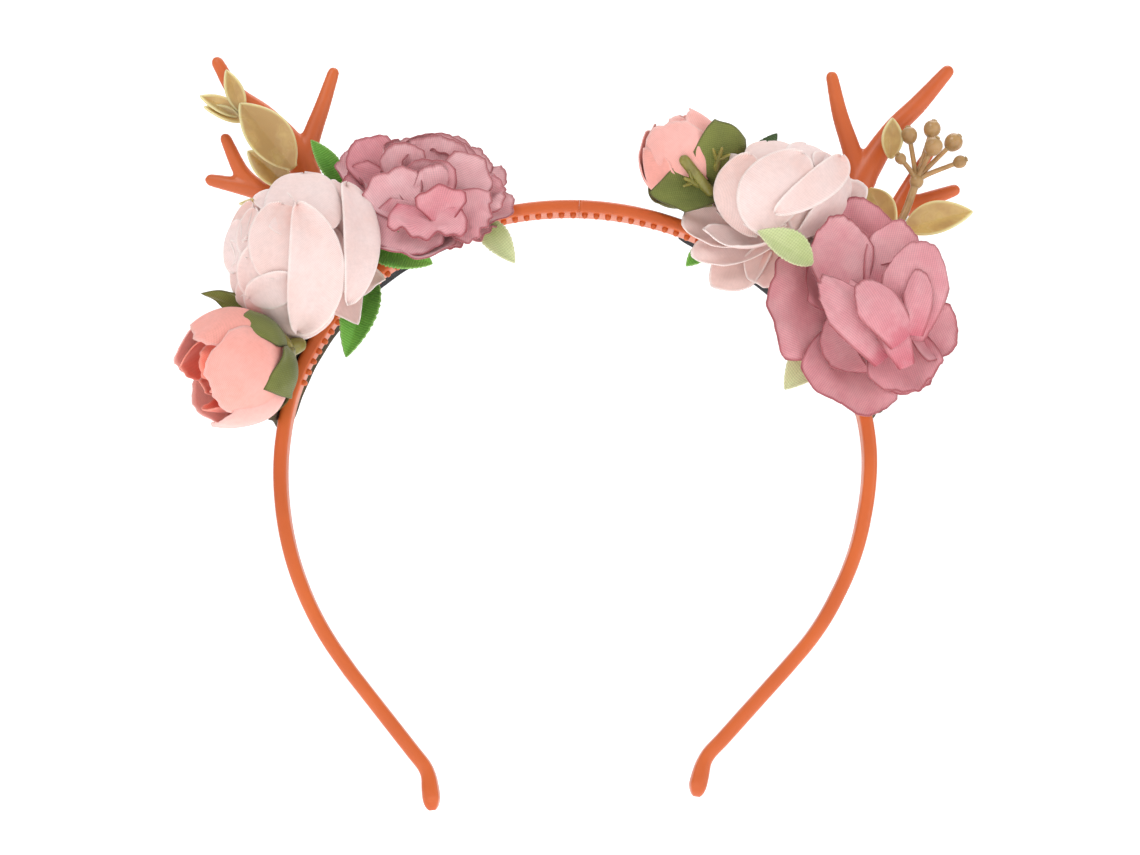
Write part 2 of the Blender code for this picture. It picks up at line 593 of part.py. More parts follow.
build_crown()
for hoop_side in (-1, 1):
    build_side_band(hoop_side)
    build_felt(hoop_side)
    build_antler(hoop_side)
for rose_name, rose in ROSES.items():
    build_rose(rose_name, rose)
for bud_name, bud in BUDS.items():
    build_bud(bud_name, bud)
for leaf_name, values in {**LEAVES, **SPRIG_LEAVES}.items():
    leaf(leaf_name, *values)
wire("sprig_left_stem", -1, (60.0, 1.0), [(-62.5, 2.2, 1.0), (-68.0, 2.2, 12.0), (-74.0, 2.2, 21.6)], 0.7, "sprig")
wire("sprig_right_stem", 1, (63.5, 1.5), [(65.5, -1.0, -6.0), (69.6, 0.0, 2.0), BERRY_HUB], 0.8, "berry",
     BERRY_HUB_RADIUS)
for berry_name, (berry_centre, berry_radius) in BERRIES.items():
    berry(berry_name, berry_centre, berry_radius)
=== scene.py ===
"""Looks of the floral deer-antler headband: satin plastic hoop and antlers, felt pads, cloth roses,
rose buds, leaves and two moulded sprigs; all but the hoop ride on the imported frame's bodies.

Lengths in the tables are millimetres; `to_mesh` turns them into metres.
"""

import math

import bmesh
import bpy
import numpy as np
from mathutils import Matrix, Vector


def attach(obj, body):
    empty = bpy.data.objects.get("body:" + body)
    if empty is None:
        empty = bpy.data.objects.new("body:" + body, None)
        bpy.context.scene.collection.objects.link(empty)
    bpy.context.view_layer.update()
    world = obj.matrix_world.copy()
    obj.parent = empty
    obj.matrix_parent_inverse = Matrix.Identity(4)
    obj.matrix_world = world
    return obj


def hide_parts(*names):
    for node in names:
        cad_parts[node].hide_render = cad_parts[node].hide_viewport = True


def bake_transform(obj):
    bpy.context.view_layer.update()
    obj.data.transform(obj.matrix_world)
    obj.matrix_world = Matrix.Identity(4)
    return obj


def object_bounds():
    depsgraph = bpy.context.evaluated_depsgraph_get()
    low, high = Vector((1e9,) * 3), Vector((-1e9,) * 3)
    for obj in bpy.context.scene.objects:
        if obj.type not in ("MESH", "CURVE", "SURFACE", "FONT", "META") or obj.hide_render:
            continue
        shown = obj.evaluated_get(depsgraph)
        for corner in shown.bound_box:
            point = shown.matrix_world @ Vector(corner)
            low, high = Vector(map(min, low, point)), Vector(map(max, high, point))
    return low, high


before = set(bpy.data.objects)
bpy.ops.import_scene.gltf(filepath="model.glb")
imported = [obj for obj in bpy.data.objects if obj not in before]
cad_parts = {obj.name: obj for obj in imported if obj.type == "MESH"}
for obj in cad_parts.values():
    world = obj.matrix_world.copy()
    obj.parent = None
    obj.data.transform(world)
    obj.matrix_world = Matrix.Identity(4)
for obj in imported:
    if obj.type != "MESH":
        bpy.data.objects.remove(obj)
CAD_BOX = [list(corner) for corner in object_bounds()]

MM = 0.001
LEFT, RIGHT = -1, 1
BODY = {LEFT: "left_side", RIGHT: "right_side"}
SIDE = {LEFT: "left", RIGHT: "right"}
rng = np.random.default_rng(12)


# ---- vectors and meshes -------------------------------------------------------------------------
def unit(v):
    v = np.asarray(v, float)
    return v / np.linalg.norm(v, axis=-1, keepdims=True)


def smooth(x):
    """0 below 0, 1 above 1 and a soft step between: 3 x squared less 2 x cubed."""
    x = np.clip(x, 0, 1)
    return x * x * (3 - 2 * x)


def under(heights, places):
    """Area under a line by trapezoids: each step times the mean of its two heights."""
    return float(((heights[1:] + heights[:-1]) / 2 * np.diff(places)).sum())


def curve_through(knots, count):
    """Catmull-Rom points through evenly spaced knots; works on rows of any width."""
    knots = np.asarray(knots, float)
    ends = np.concatenate([[2 * knots[0] - knots[1]], knots, [2 * knots[-1] - knots[-2]]])
    t = np.linspace(0, len(knots) - 1, count)
    i = np.clip(t.astype(int), 0, len(knots) - 2)
    u = (t - i)[:, None]
    a, b, c, d = (ends[i + k] for k in range(4))
    return 0.5 * (2 * b + (c - a) * u + (2 * a - 5 * b + 4 * c - d) * u ** 2
                  + (3 * b - a - 3 * c + d) * u ** 3)


def grid_faces(rows, columns, ring=False, first=0):
    """Quads of a rows by columns grid; a ring joins the last column to the first."""
    i, j = np.meshgrid(np.arange(rows - 1), np.arange(columns if ring else columns - 1), indexing="ij")
    k = (j + 1) % columns
    quads = np.stack([i * columns + j, i * columns + k, (i + 1) * columns + k, (i + 1) * columns + j], -1)
    return (quads.reshape(-1, 4) + first).tolist()


class Patch:
    """One grid of points with its cloth coordinates and shade values (edge, along, tone)."""

    def __init__(self, points, cloth=None, shade=None, ring=False, caps=False):
        self.points = np.asarray(points, float)
        shape = self.points.shape[:2] + (3,)
        self.cloth = np.zeros(shape) if cloth is None else cloth
        self.shade = np.zeros(shape) if shade is None else shade
        self.ring, self.caps = ring, caps


def to_mesh(name, patches, material, body=None, thickness=0.0, levels=0):
    """Put patches into one mesh at the origin; closed tubes get their ends filled and faces turned out."""
    points, faces, cloth, shade = [], [], [], []
    count = 0
    for patch in patches:
        rows, columns = patch.points.shape[:2]
        faces += grid_faces(rows, columns, patch.ring, count)
        if patch.caps:
            faces.append(list(range(count, count + columns))[::-1])
            faces.append(list(range(count + (rows - 1) * columns, count + rows * columns)))
        points.append(patch.points.reshape(-1, 3))
        cloth.append(patch.cloth.reshape(-1, 3))
        shade.append(patch.shade.reshape(-1, 3))
        count += rows * columns
    points, cloth, shade = (np.concatenate(a) for a in (points, cloth, shade))
    mesh = bpy.data.meshes.new(name)
    mesh.from_pydata((points * MM).tolist(), [], faces)
    if any(patch.caps for patch in patches):
        work = bmesh.new()
        work.from_mesh(mesh)
        bmesh.ops.recalc_face_normals(work, faces=work.faces)
        work.to_mesh(mesh)
        work.free()
    for label, values in (("cloth", cloth), ("shade", shade)):
        layer = mesh.attributes.new(label, "FLOAT_VECTOR", "POINT")
        layer.data.foreach_set("vector", values.astype(np.float32).ravel())
    mesh.shade_smooth()
    # End caps stay flat, so they do not bend the shading of the wall beside them.
    mesh.polygons.foreach_set("use_smooth", [len(face) == 4 for face in faces])
    mesh.materials.append(material)
    obj = bpy.data.objects.new(name, mesh)
    bpy.context.scene.collection.objects.link(obj)
    if thickness:
        wall = obj.modifiers.new("wall", "SOLIDIFY")
        wall.thickness = thickness * MM
        wall.offset = 0.0
    if levels:
        fine = obj.modifiers.new("fine", "SUBSURF")
        fine.levels = fine.render_levels = levels
    if body:
        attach(obj, body)
    return obj


def tube(path, radii, sides=16, depth=1.0, guide=(0.0, 1.0, 0.0)):
    """Rings of the given radii across a path, squeezed by `depth` along the guide direction."""
    path, radii = np.asarray(path, float), np.asarray(radii, float)
    along = unit(np.gradient(path, axis=0))
    across = unit(np.cross(along, np.asarray(guide, float)))
    other = np.cross(along, across)
    turn = np.arange(sides) * 2 * np.pi / sides
    spread = np.cos(turn)[None, :, None] * across[:, None] + depth * np.sin(turn)[None, :, None] * other[:,
                                                                                                         None]
    return Patch(path[:, None] + radii[:, None, None] * spread, ring=True, caps=True)


def round_ends(path, radii, start=False):
    """Lengthen a path by a half ball at its end, and at its start if asked."""
    path, radii = np.asarray(path, float), np.asarray(radii, float)
    lift = np.radians([25, 50, 70, 84])
    way = unit(path[-1] - path[-2])
    path = np.concatenate([path, path[-1] + np.sin(lift)[:, None] * way * radii[-1]])
    radii = np.concatenate([radii, np.cos(lift) * radii[-1]])
    return round_ends(path[::-1], radii[::-1]) if start else (path, radii)


# ---- finishes -----------------------------------------------------------------------------------
class Val:
    """A socket in a node tree; arithmetic on it adds Math nodes."""

    def __init__(self, tree, socket):
        self.tree, self.socket = tree, socket

    def math(self, operation, *values):
        node = self.tree.nodes.new("ShaderNodeMath")
        node.operation = operation
        for slot, value in zip(node.inputs, values):
            plug(self.tree, value, slot)
        return Val(self.tree, node.outputs[0])

    def __add__(self, other):
        return self.math("ADD", self, other)

    def __sub__(self, other):
        return self.math("SUBTRACT", self, other)

    def __mul__(self, other):
        return self.math("MULTIPLY", self, other)

    __radd__, __rmul__ = __add__, __mul__

    def sine(self):
        return self.math("SINE", self)


def plug(tree, value, slot):
    if isinstance(value, Val):
        tree.links.new(value.socket, slot)
    else:
        slot.default_value = value


def srgb(r, g, b):
    """Linear colour of an sRGB triple from 0 to 255."""
    c = np.array([r, g, b]) / 255
    c = np.where(c <= 0.04045, c / 12.92, ((c + 0.055) / 1.055) ** 2.4)
    return (*c.tolist(), 1.0)


class Finish:
    """A procedural material: one Principled shader, whose constants sit on its own sockets."""

    def __init__(self, name, **constants):
        self.material = bpy.data.materials.new(name)
        self.material.use_nodes = True
        self.tree = self.material.node_tree
        self.shader = self.tree.nodes["Principled BSDF"]
        for label, value in constants.items():
            self.shader.inputs[label.replace("_", " ")].default_value = value

    def node(self, kind, settings=(), inputs=(), out=0):
        """Add a node: settings first, then the values or links of its sockets."""
        made = self.tree.nodes.new("ShaderNode" + kind)
        for label, value in dict(settings).items():
            if label == "stops":
                while len(made.color_ramp.elements) < len(value):
                    made.color_ramp.elements.new(1.0)
                for element, (place, colour) in zip(made.color_ramp.elements, value):
                    element.position, element.color = place, colour
            else:
                setattr(made, label, value)
        for label, value in dict(inputs).items():
            plug(self.tree, value, made.inputs[label])
        return Val(self.tree, made.outputs[out])

    def place(self):
        return self.node("TexCoord", out=3)

    def attribute(self, name):
        return self.node("Attribute", {"attribute_name": name}, out=1)

    def parts(self, vector):
        split = self.tree.nodes.new("ShaderNodeSeparateXYZ")
        plug(self.tree, vector, split.inputs[0])
        return [Val(self.tree, o) for o in split.outputs]

    def noise(self, vector, scale, detail=2.0, roughness=0.5):
        return self.node("TexNoise", inputs={"Vector": vector, "Scale": scale, "Detail": detail,
                                             "Roughness": roughness})

    def span(self, value, low, high, to_low=0.0, to_high=1.0):
        """Map a value from low..high to another range, clamped."""
        return self.node("MapRange", {"clamp": True}, {0: value, 1: low, 2: high, 3: to_low, 4: to_high})

    def mix(self, a, b, factor, blend="MIX"):
        return self.node("Mix", {"data_type": "RGBA", "blend_type": blend}, {0: factor, 6: a, 7: b}, out=2)

    def grey(self, value):
        """A value as a neutral colour."""
        return self.node("CombineColor", inputs={0: value, 1: value, 2: value})

    def bump(self, height, distance, strength=1.0):
        self.set("Normal", self.node("Bump", inputs={"Height": height, "Distance": distance * MM,
                                                     "Strength": strength}))

    def set(self, label, value):
        plug(self.tree, value, self.shader.inputs[label])


def satin_plastic(name, colour, shade, gloss, grain=0.02):
    """Moulded plastic: faint flow streaks, a few soft scuffs and a satin gloss."""
    f = Finish(name, IOR=1.49, Specular_IOR_Level=0.42)
    place = f.place()
    flow = f.noise(place, 90.0, 3.0)
    cloud = f.noise(place, 22.0, 2.0)
    f.set("Base Color", f.mix(colour, shade, f.span(cloud * 0.6 + flow * 0.4, 0.35, 0.68)))
    f.set("Roughness", f.span(flow, 0.3, 0.7, gloss - 0.05, gloss + 0.10))
    f.bump(f.noise(place, 1400.0, 2.0) * 0.5 + f.noise(place, 240.0, 1.0), grain, 0.6)
    return f.material


def clear_plastic(name, colour, shade, tip):
    """Thin moulded plastic of a sprig: cloudy tan with darker veins, paler at the tips."""
    f = Finish(name, IOR=1.46, Subsurface_Weight=0.25, Subsurface_Radius=(0.004, 0.0025, 0.0012),
               Subsurface_Scale=1.0)
    place = f.place()
    edge, along, tone = f.parts(f.attribute("shade"))
    cloud = f.noise(place, 260.0, 3.0)
    body = f.mix(colour, shade, f.span(cloud + tone * 0.25, 0.38, 0.72))
    body = f.mix(body, tip, f.span(edge * 0.55 + along * 0.25 + cloud * 0.3, 0.45, 1.0))
    f.set("Base Color", body)
    f.set("Roughness", f.span(cloud, 0.3, 0.7, 0.22, 0.38))
    f.bump(f.noise(place, 700.0, 3.0), 0.06, 0.6)
    return f.material


def petal_cloth(name, root_shade, middle, pale, rim, pitch, rim_share, grain=0.05, twill=0.35, sheen=0.25):
    """Dyed petal cloth: painted shade deepening it towards the root, mottled dye, woven ribs and a tinted cut
    edge, on the blush cloth paled further as a painted highlight.

    The ribs are sines of the cloth coordinates with the given pitch in millimetres.
    """
    f = Finish(name, Sheen_Weight=sheen, Sheen_Roughness=0.45, Specular_IOR_Level=0.18,
               Subsurface_Weight=0.12, Subsurface_Radius=(0.0012, 0.0010, 0.0009), Subsurface_Scale=1.0)
    place = f.place()
    across, along, _ = f.parts(f.attribute("cloth"))
    edge, reach, tone = f.parts(f.attribute("shade"))
    dye = f.noise(place, 160.0, 3.0, 0.6)
    wisp = f.noise(place, 900.0, 2.0, 0.6)
    wave = 2 * math.pi / pitch
    ribs = (across * wave + along * wave * twill).sine() * 0.5 + 0.5
    threads = (along * wave * 1.15 - across * wave * 0.2).sine() * 0.5 + 0.5
    weave = (ribs * 0.65 + threads * 0.35) * 0.75 + wisp * 0.5
    # Painted shade: the cloth takes its root colour towards the petal root, where the petals shade each
    # other; the dye noise breaks up the border.
    colour = f.mix(root_shade, middle, f.span(reach + dye * 0.35, 0.12, 0.62))
    colour = f.mix(colour, pale, f.span(dye * 0.7 + tone * 0.45, 0.40, 0.85))
    # The cut edge takes the rim colour: darker on the mauve cloth, and on the blush cloth a pale edge
    # brightened further as a painted highlight along the petal rims.
    colour = f.mix(colour, rim, f.span(edge + (dye - 0.5) * 0.5, 0.45, 1.0, 0.0, rim_share))
    colour = f.mix(colour, f.grey(f.span(weave, 0.2, 1.0, 0.80, 1.06)), 1.0, "MULTIPLY")
    f.set("Base Color", colour)
    f.set("Roughness", f.span(weave, 0.2, 1.0, 0.9, 0.68))
    f.bump(weave, grain, 0.7)
    return f.material


def leaf_cloth(name, dark, light, rim, pitch, plain=0.0, rim_share=0.5):
    """Stiffened leaf cloth: ribs across the blade, or a plain weave, with a lighter cut edge."""
    f = Finish(name, Sheen_Weight=0.15, Specular_IOR_Level=0.3)
    place = f.place()
    across, along, _ = f.parts(f.attribute("cloth"))
    edge, reach, tone = f.parts(f.attribute("shade"))
    wave = 2 * math.pi / pitch
    dye = f.noise(place, 200.0, 3.0, 0.6)
    ribs = (along * wave + across * wave * 0.12).sine() * 0.5 + 0.5
    cross = (across * wave).sine() * 0.5 + 0.5
    weave = ribs * (1.0 - plain) + (ribs * 0.5 + cross * 0.5) * plain
    colour = f.mix(dark, light, f.span(dye * 0.6 + reach * 0.35 + tone * 0.25, 0.30, 0.85))
    colour = f.mix(colour, rim, f.span(edge, 0.5, 1.0, 0.0, rim_share))
    colour = f.mix(colour, f.grey(f.span(weave, 0.0, 1.0, 0.82, 1.08)), 1.0, "MULTIPLY")
    f.set("Base Color", colour)
    f.set("Roughness", f.span(weave, 0.0, 1.0, 0.75, 0.5))
    f.bump(weave, 0.09, 0.8)
    return f.material


def felt_finish(name, top, low):
    """Pressed felt: short matted fibres, charcoal at the crown and olive-brown with glue lower down."""
    f = Finish(name, Sheen_Weight=0.08, Sheen_Roughness=0.6, Specular_IOR_Level=0.12)
    place = f.place()
    height = f.parts(place)[2]
    fibre = f.noise(place, 2600.0, 4.0, 0.7)
    mat = f.noise(place, 420.0, 3.0)
    colour = f.mix(low, top, f.span(height + (mat - 0.5) * 0.008, -0.030, -0.018))
    colour = f.mix(colour, f.grey(f.span(fibre * 0.6 + mat * 0.4, 0.3, 0.7, 0.55, 1.5)), 1.0, "MULTIPLY")
    f.set("Base Color", colour)
    f.set("Roughness", f.span(mat, 0.4, 0.6, 0.98, 0.85))
    f.bump(fibre + mat * 0.8, 0.25, 0.9)
    return f.material


HOOP_PLASTIC = satin_plastic("hoop_satin_plastic", srgb(212, 104, 50), srgb(196, 90, 40), 0.34)
ANTLER_PLASTIC = satin_plastic("antler_satin_plastic", srgb(216, 110, 58), srgb(198, 92, 44), 0.36, 0.03)
# The first colour of each petal cloth is painted shade, the colour it takes towards the petal roots.
MAUVE = petal_cloth("mauve_petal_cloth", srgb(204, 108, 122), srgb(220, 150, 158), srgb(232, 184, 188),
                    srgb(146, 50, 58), 0.48, 0.8, 0.06)
# The blush cloth's near-white rim colour is its pale cut edge and also a painted highlight along the petal
# edges.
BLUSH = petal_cloth("blush_petal_cloth", srgb(241, 182, 168), srgb(240, 207, 200), srgb(243, 219, 215),
                    srgb(252, 238, 233), 0.34, 0.75, 0.03, twill=0.8, sheen=0.12)
CORAL = petal_cloth("coral_petal_cloth", srgb(248, 118, 100), srgb(251, 172, 160), srgb(253, 190, 182),
                    srgb(254, 204, 196), 0.36, 0.6, 0.04, twill=0.8)
CORAL_DEEP = petal_cloth("deep_coral_petal_cloth", srgb(255, 92, 70), srgb(255, 134, 114),
                         srgb(255, 158, 140),
                         srgb(252, 176, 160), 0.36, 0.5, 0.04, twill=0.8)
SEPAL = leaf_cloth("olive_sepal_cloth", srgb(84, 92, 36), srgb(124, 130, 62), srgb(70, 60, 32), 0.42, 0.7,
                   0.6)
GREEN = leaf_cloth("green_leaf_cloth", srgb(70, 134, 36), srgb(122, 184, 74), srgb(160, 205, 116), 0.5)
PALE = leaf_cloth("pale_leaf_cloth", srgb(172, 190, 118), srgb(214, 220, 170), srgb(226, 226, 184), 0.5,
                  0.8)
DARK = leaf_cloth("dark_leaf_cloth", srgb(44, 66, 40), srgb(78, 104, 62), srgb(60, 74, 48), 0.5, 0.4)
CALYX = clear_plastic("calyx_olive_plastic", srgb(140, 134, 66), srgb(118, 108, 52), srgb(176, 166, 100))
SPRIG = clear_plastic("sprig_tan_plastic", srgb(200, 174, 116), srgb(174, 144, 94), srgb(228, 218, 164))
BERRY = clear_plastic("berry_tan_plastic", srgb(182, 146, 98), srgb(150, 116, 72), srgb(208, 182, 130))
FELT = felt_finish("charcoal_felt", srgb(44, 45, 48), srgb(72, 60, 32))


# ---- hoop ---------------------------------------------------------------------------------------
HEAD_HALF_WIDTH, HEAD_ARCH_HEIGHT = 60.4, 54.0
LEG_ARC_RADIUS, LEG_ARC_DEG, LEG_STRAIGHT = 60.0, 40.0, 27.5
KINK_RADIUS, KINK_DEG, TIP_LENGTH = 9.0, 34.0, 6.2
BAND_THICK = 3.0
BAND_TOP_WIDTH, BAND_LEG_WIDTH, BAND_TAPER_END = 7.5, 6.0, 60.0
BAND_SIDES, BAND_STEPS, NORMAL_STEPS = 36, 250, 9
EDGE_POWER, OUTER_POWER, INNER_POWER = 0.42, 0.75, 0.28
TIP_ROUND, TIP_SWELL, SWELL_START, SWELL_RUN = 3.2, 0.22, 9, 5.5
TOOTH_PITCH, TOOTH_RADIUS, TOOTH_HEIGHT, TOOTH_Y, TEETH_END = 2.5, 0.62, 1.05, -1.9, 74.0


def hoop_table():
    """Inner face of the right half: quarter ellipse, arc, straight run, reverse arc and tip."""
    t = np.linspace(0, np.pi / 2, 500)
    points = [np.stack([HEAD_HALF_WIDTH * np.sin(t), HEAD_ARCH_HEIGHT * (np.cos(t) - 1)], 1)]

    def run(step):
        points.append(points[-1][-1] + step[1:])

    end, kink = np.radians(LEG_ARC_DEG), np.radians(KINK_DEG)
    a = np.linspace(0, end, 120)
    run(np.stack([-LEG_ARC_RADIUS * (1 - np.cos(a)), -LEG_ARC_RADIUS * np.sin(a)], 1))
    run(np.linspace(0, LEG_STRAIGHT, 40)[:, None] * np.array([-np.sin(end), -np.cos(end)]))
    k = np.linspace(0, kink, 50)
    run(np.stack([-KINK_RADIUS * (np.cos(end - k) - np.cos(end)),
                  -KINK_RADIUS * (np.sin(end) - np.sin(end - k))], 1))
    run(np.linspace(0, TIP_LENGTH, 20)[:, None] * np.array([-np.sin(end - kink), -np.cos(end - kink)]))
    points = np.concatenate(points)
    along = unit(np.gradient(points, axis=0))
    # A short running mean takes the small steps out of the normals where the runs meet.
    width = NORMAL_STEPS
    padded = np.pad(along, ((width, width), (0, 0)), mode="edge")
    along = unit(np.stack([np.convolve(padded[:, i], np.ones(2 * width + 1) / (2 * width + 1), "valid")
                           for i in (0, 1)], 1))
    normals = np.stack([-along[:, 1], along[:, 0]], 1)
    length = np.concatenate([[0], np.cumsum(np.linalg.norm(np.diff(points, axis=0), axis=1))])
    return length, points, normals


ARC, HOOP, OUT = hoop_table()
HOOP_LENGTH = ARC[-1]


# The shown legs stand off the even CAD hoop: how far out and how far up at each of these heights.
LEVELS = [-122.0, -112.0, -96.0, -80.0, -63.0, -50.0, -30.0, -12.0]
SETTLE = {LEFT: ([-0.6, -0.2, 0.3, 0.1, -0.3, -0.5, -0.2, 0.0],
                 [-2.4, -2.4, -1.9, -0.6, 0.0, 0.0, 0.0, 0.0]),
          RIGHT: ([0.4, 1.5, 1.5, 0.7, 0.7, 1.2, 1.7, 0.0], [2.0, 2.0, 1.6, 0.8, 0.0, 0.0, 0.0, 0.0])}


def hoop(side, s, offset=0.0, y=0.0):
    """Points at arc length s, `offset` outside the inner face; s, offset and y broadcast."""
    s, offset, y = np.broadcast_arrays(np.asarray(s, float), offset, y)
    x, z, nx, nz = (np.interp(s, ARC, table[:, i]) for table in (HOOP, OUT) for i in (0, 1))
    x, out, up = x + offset * nx, *(np.interp(z, LEVELS, row) for row in SETTLE[side])
    return np.stack([side * (x + out), y, z + offset * nz + up], -1)


def band_patch(side):
    """D-section carried along half the hoop; the tip swells a little and closes round.

    Round the section, across and out are a cosine and a sine raised to powers under 1, so its inner
    side and edges are nearly square and its outer side is domed.
    """
    tail = HOOP_LENGTH - TIP_ROUND
    closing = np.cos(np.radians([12, 28, 44, 58, 70, 80, 86]))
    s = np.concatenate([np.linspace(0, tail, BAND_STEPS), HOOP_LENGTH - TIP_ROUND * closing])
    # Distance from the start of the tip shapes the swelling, then the closing ball.
    close = np.sqrt(np.clip(1 - ((s - tail) / TIP_ROUND).clip(0, 1) ** 2, 0, 1)).clip(0.06, 1)
    swell = 1 + TIP_SWELL * smooth((s - (HOOP_LENGTH - SWELL_START)) / SWELL_RUN)
    scale = (close * swell)[:, None]
    widths = [BAND_TOP_WIDTH, BAND_LEG_WIDTH, BAND_LEG_WIDTH]
    half = 0.5 * np.interp(s, [0, BAND_TAPER_END, HOOP_LENGTH], widths)[:, None]
    turn = (np.arange(BAND_SIDES) * 2 * np.pi / BAND_SIDES)[None, :]
    c, w = np.cos(turn), np.sin(turn)
    y = -half * np.sign(c) * np.abs(c) ** EDGE_POWER * scale
    power = np.where(w > 0, OUTER_POWER, INNER_POWER)
    out = BAND_THICK / 2 * (1 + np.sign(w) * np.abs(w) ** power * scale)
    return Patch(hoop(side, s[:, None], out, y), ring=True, caps=True)


def peg(foot, way, radius, height, sides=12):
    """Round-topped peg: a short cylinder sunk into the band, closed by a quarter-round dome."""
    way = unit(way)
    lift = np.array([-0.5, 0.45 * height, 0.7 * height, 0.88 * height, 0.97 * height, height])
    size = np.array([1.12, 1.0, 0.9, 0.66, 0.36, 0.08]) * radius
    return tube(foot + lift[:, None] * way, size, sides, guide=(0.0, 1.0, 0.0))


def build_hoop(side):
    """Half the band with a row of comb pegs, from the crown down into the leg."""
    patches = [band_patch(side)]
    s = TOOTH_PITCH / 2
    while s <= TEETH_END:
        foot = hoop(side, s, 0.0, TOOTH_Y)
        inward = foot - hoop(side, s, 1.0, TOOTH_Y)
        patches.append(peg(foot, inward, TOOTH_RADIUS, TOOTH_HEIGHT))
        s += TOOTH_PITCH
    obj = to_mesh(f"hoop_{SIDE[side]}_half", patches, HOOP_PLASTIC)
    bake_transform(obj)
    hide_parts(*(["band_crown", "band_left"] if side == LEFT else ["band_right"]))


# ---- felt pads ----------------------------------------------------------------------------------
FELT_START, FELT_END, FELT_FRONT, FELT_BACK, FELT_THICK = 21.5, 83.0, -7.0, 15.0, 1.8
FELT_BEND_START, FELT_TURN_IN, FELT_GAP, FELT_INSET = 4.05, 2.6, 0.3, 0.3
# The right pad is shown this much shorter than its node; its declared length stays the node's.
FELT_SHORTER = {LEFT: 0.0, RIGHT: 5.0}


def felt_under(y):
    """Underside height over the band's inner face: flat on the band, bent in behind it."""
    behind = np.clip((y - FELT_BEND_START) / (FELT_BACK - FELT_BEND_START), 0, 1)
    return BAND_THICK + FELT_GAP - FELT_TURN_IN * behind ** 1.5


def build_felt(side):
    """Pad of even thickness carried along the arch, with a hand-cut outline and soft rims."""
    rows, columns = 70, 26
    v, u = np.linspace(0, 1, rows)[:, None], np.linspace(0, 1, columns)[None, :]
    wander = 0.35 * np.sin(v * 19 + side) + 0.2 * np.sin(v * 47)
    corner = 1 - 0.10 * np.abs(2 * v - 1) ** 8
    y = FELT_FRONT + FELT_INSET + wander + (FELT_BACK - FELT_FRONT - 0.9 - wander) * u * corner
    run = FELT_END - FELT_START - 2 * FELT_INSET - FELT_SHORTER[side]
    s = FELT_START + FELT_INSET + run * v + 0.4 * np.sin(u * 9) * (2 * v - 1)
    middle = hoop(side, s, felt_under(y) + FELT_THICK / 2 + 0.08 * np.sin(y * 1.3) * np.sin(s * 0.9), y)
    obj = to_mesh(f"felt_{SIDE[side]}_pad", [Patch(middle)], FELT, BODY[side], thickness=FELT_THICK - 0.1)
    soft = obj.modifiers.new("soft_rims", "BEVEL")
    soft.width, soft.segments, soft.limit_method, soft.angle_limit = 0.35 * MM, 2, "ANGLE", math.radians(60)
    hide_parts(f"felt_{SIDE[side]}")


# ---- antlers ------------------------------------------------------------------------------------
ANTLER_Y = 6.0
ANTLERS = {
    LEFT: (51.0, [
        ([(-56.5, 3.5), (-61.5, 13.5), (-68.5, 21.5), (-75.5, 26.5), (-79.9, 33.2)],
         [2.5, 2.9, 2.1, 1.8, 1.4]),
        ([(-60.6, 9.5), (-58.6, 17.5), (-56.6, 24.0), (-54.5, 31.6)], [2.6, 2.1, 1.75, 1.35]),
        ([(-56.0, 0.5), (-63.0, 2.6), (-70.0, 5.0), (-80.0, 6.9)], [2.4, 2.3, 2.15, 1.4]),
        ([(-68.5, 4.4), (-73.3, 8.6), (-77.3, 16.2)], [2.1, 1.8, 1.3]),
        ([(-56.0, 1.0), (-58.6, 6.5), (-61.4, 12.0)], [2.6, 2.9, 2.4])]),
    RIGHT: (50.0, [
        ([(57.5, 3.5), (61.8, 12.5), (67.5, 22.0), (73.5, 28.6), (79.6, 35.9)],
         [2.6, 3.0, 2.35, 2.05, 1.5]),
        ([(61.2, 10.0), (58.8, 18.0), (56.3, 25.5), (54.4, 33.9)], [2.6, 2.1, 1.8, 1.4]),
        ([(57.0, 0.5), (64.0, 2.2), (71.0, 5.4), (81.3, 9.4)], [2.4, 2.3, 2.05, 1.4]),
        ([(68.5, 4.2), (72.0, 11.0), (76.2, 18.2)], [2.0, 1.6, 1.2]),
        ([(57.0, 1.0), (59.4, 6.5), (62.0, 11.5)], [2.6, 2.9, 2.6])]),
}


def build_antler(side):
    """Oval tines along smooth curves, melted into one moulding by a fine remesh and smoothing."""
    foot_s, tines = ANTLERS[side]
    foot = hoop(side, foot_s, felt_under(ANTLER_Y) + FELT_THICK + 0.15, ANTLER_Y)
    normal = unit(hoop(side, foot_s, 1.0, ANTLER_Y) - hoop(side, foot_s, 0.0, ANTLER_Y))
    head = np.array([tines[0][0][0][0], ANTLER_Y, tines[0][0][0][1]])
    patches = [tube([foot, foot + normal * 0.6, foot + normal * 1.3, foot + normal * 2.0],
                    [3.3, 3.3, 3.0, 2.4], 20),
               tube(curve_through([foot + normal, foot + normal * 4, head - (0, 0, 2.0),
                                   head + (0, 0, 2.0)], 14),
                    np.full(14, 2.5), 20)]
    for points, radii in tines:
        knots = np.array([(x, ANTLER_Y, z, r) for (x, z), r in zip(points, radii)])
        path = curve_through(knots, 12 * len(points))
        start, size = round_ends(path[:, :3], path[:, 3], start=True)
        patches.append(tube(start, size, 20, 0.86))
    obj = to_mesh(f"antler_{SIDE[side]}_moulding", patches, ANTLER_PLASTIC, BODY[side])
    melt = obj.modifiers.new("melt", "REMESH")
    melt.mode, melt.voxel_size, melt.use_smooth_shade = "VOXEL", 0.38 * MM, True
    ease = obj.modifiers.new("ease", "SMOOTH")
    ease.factor, ease.iterations = 0.5, 9
    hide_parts(f"antler_{SIDE[side]}")


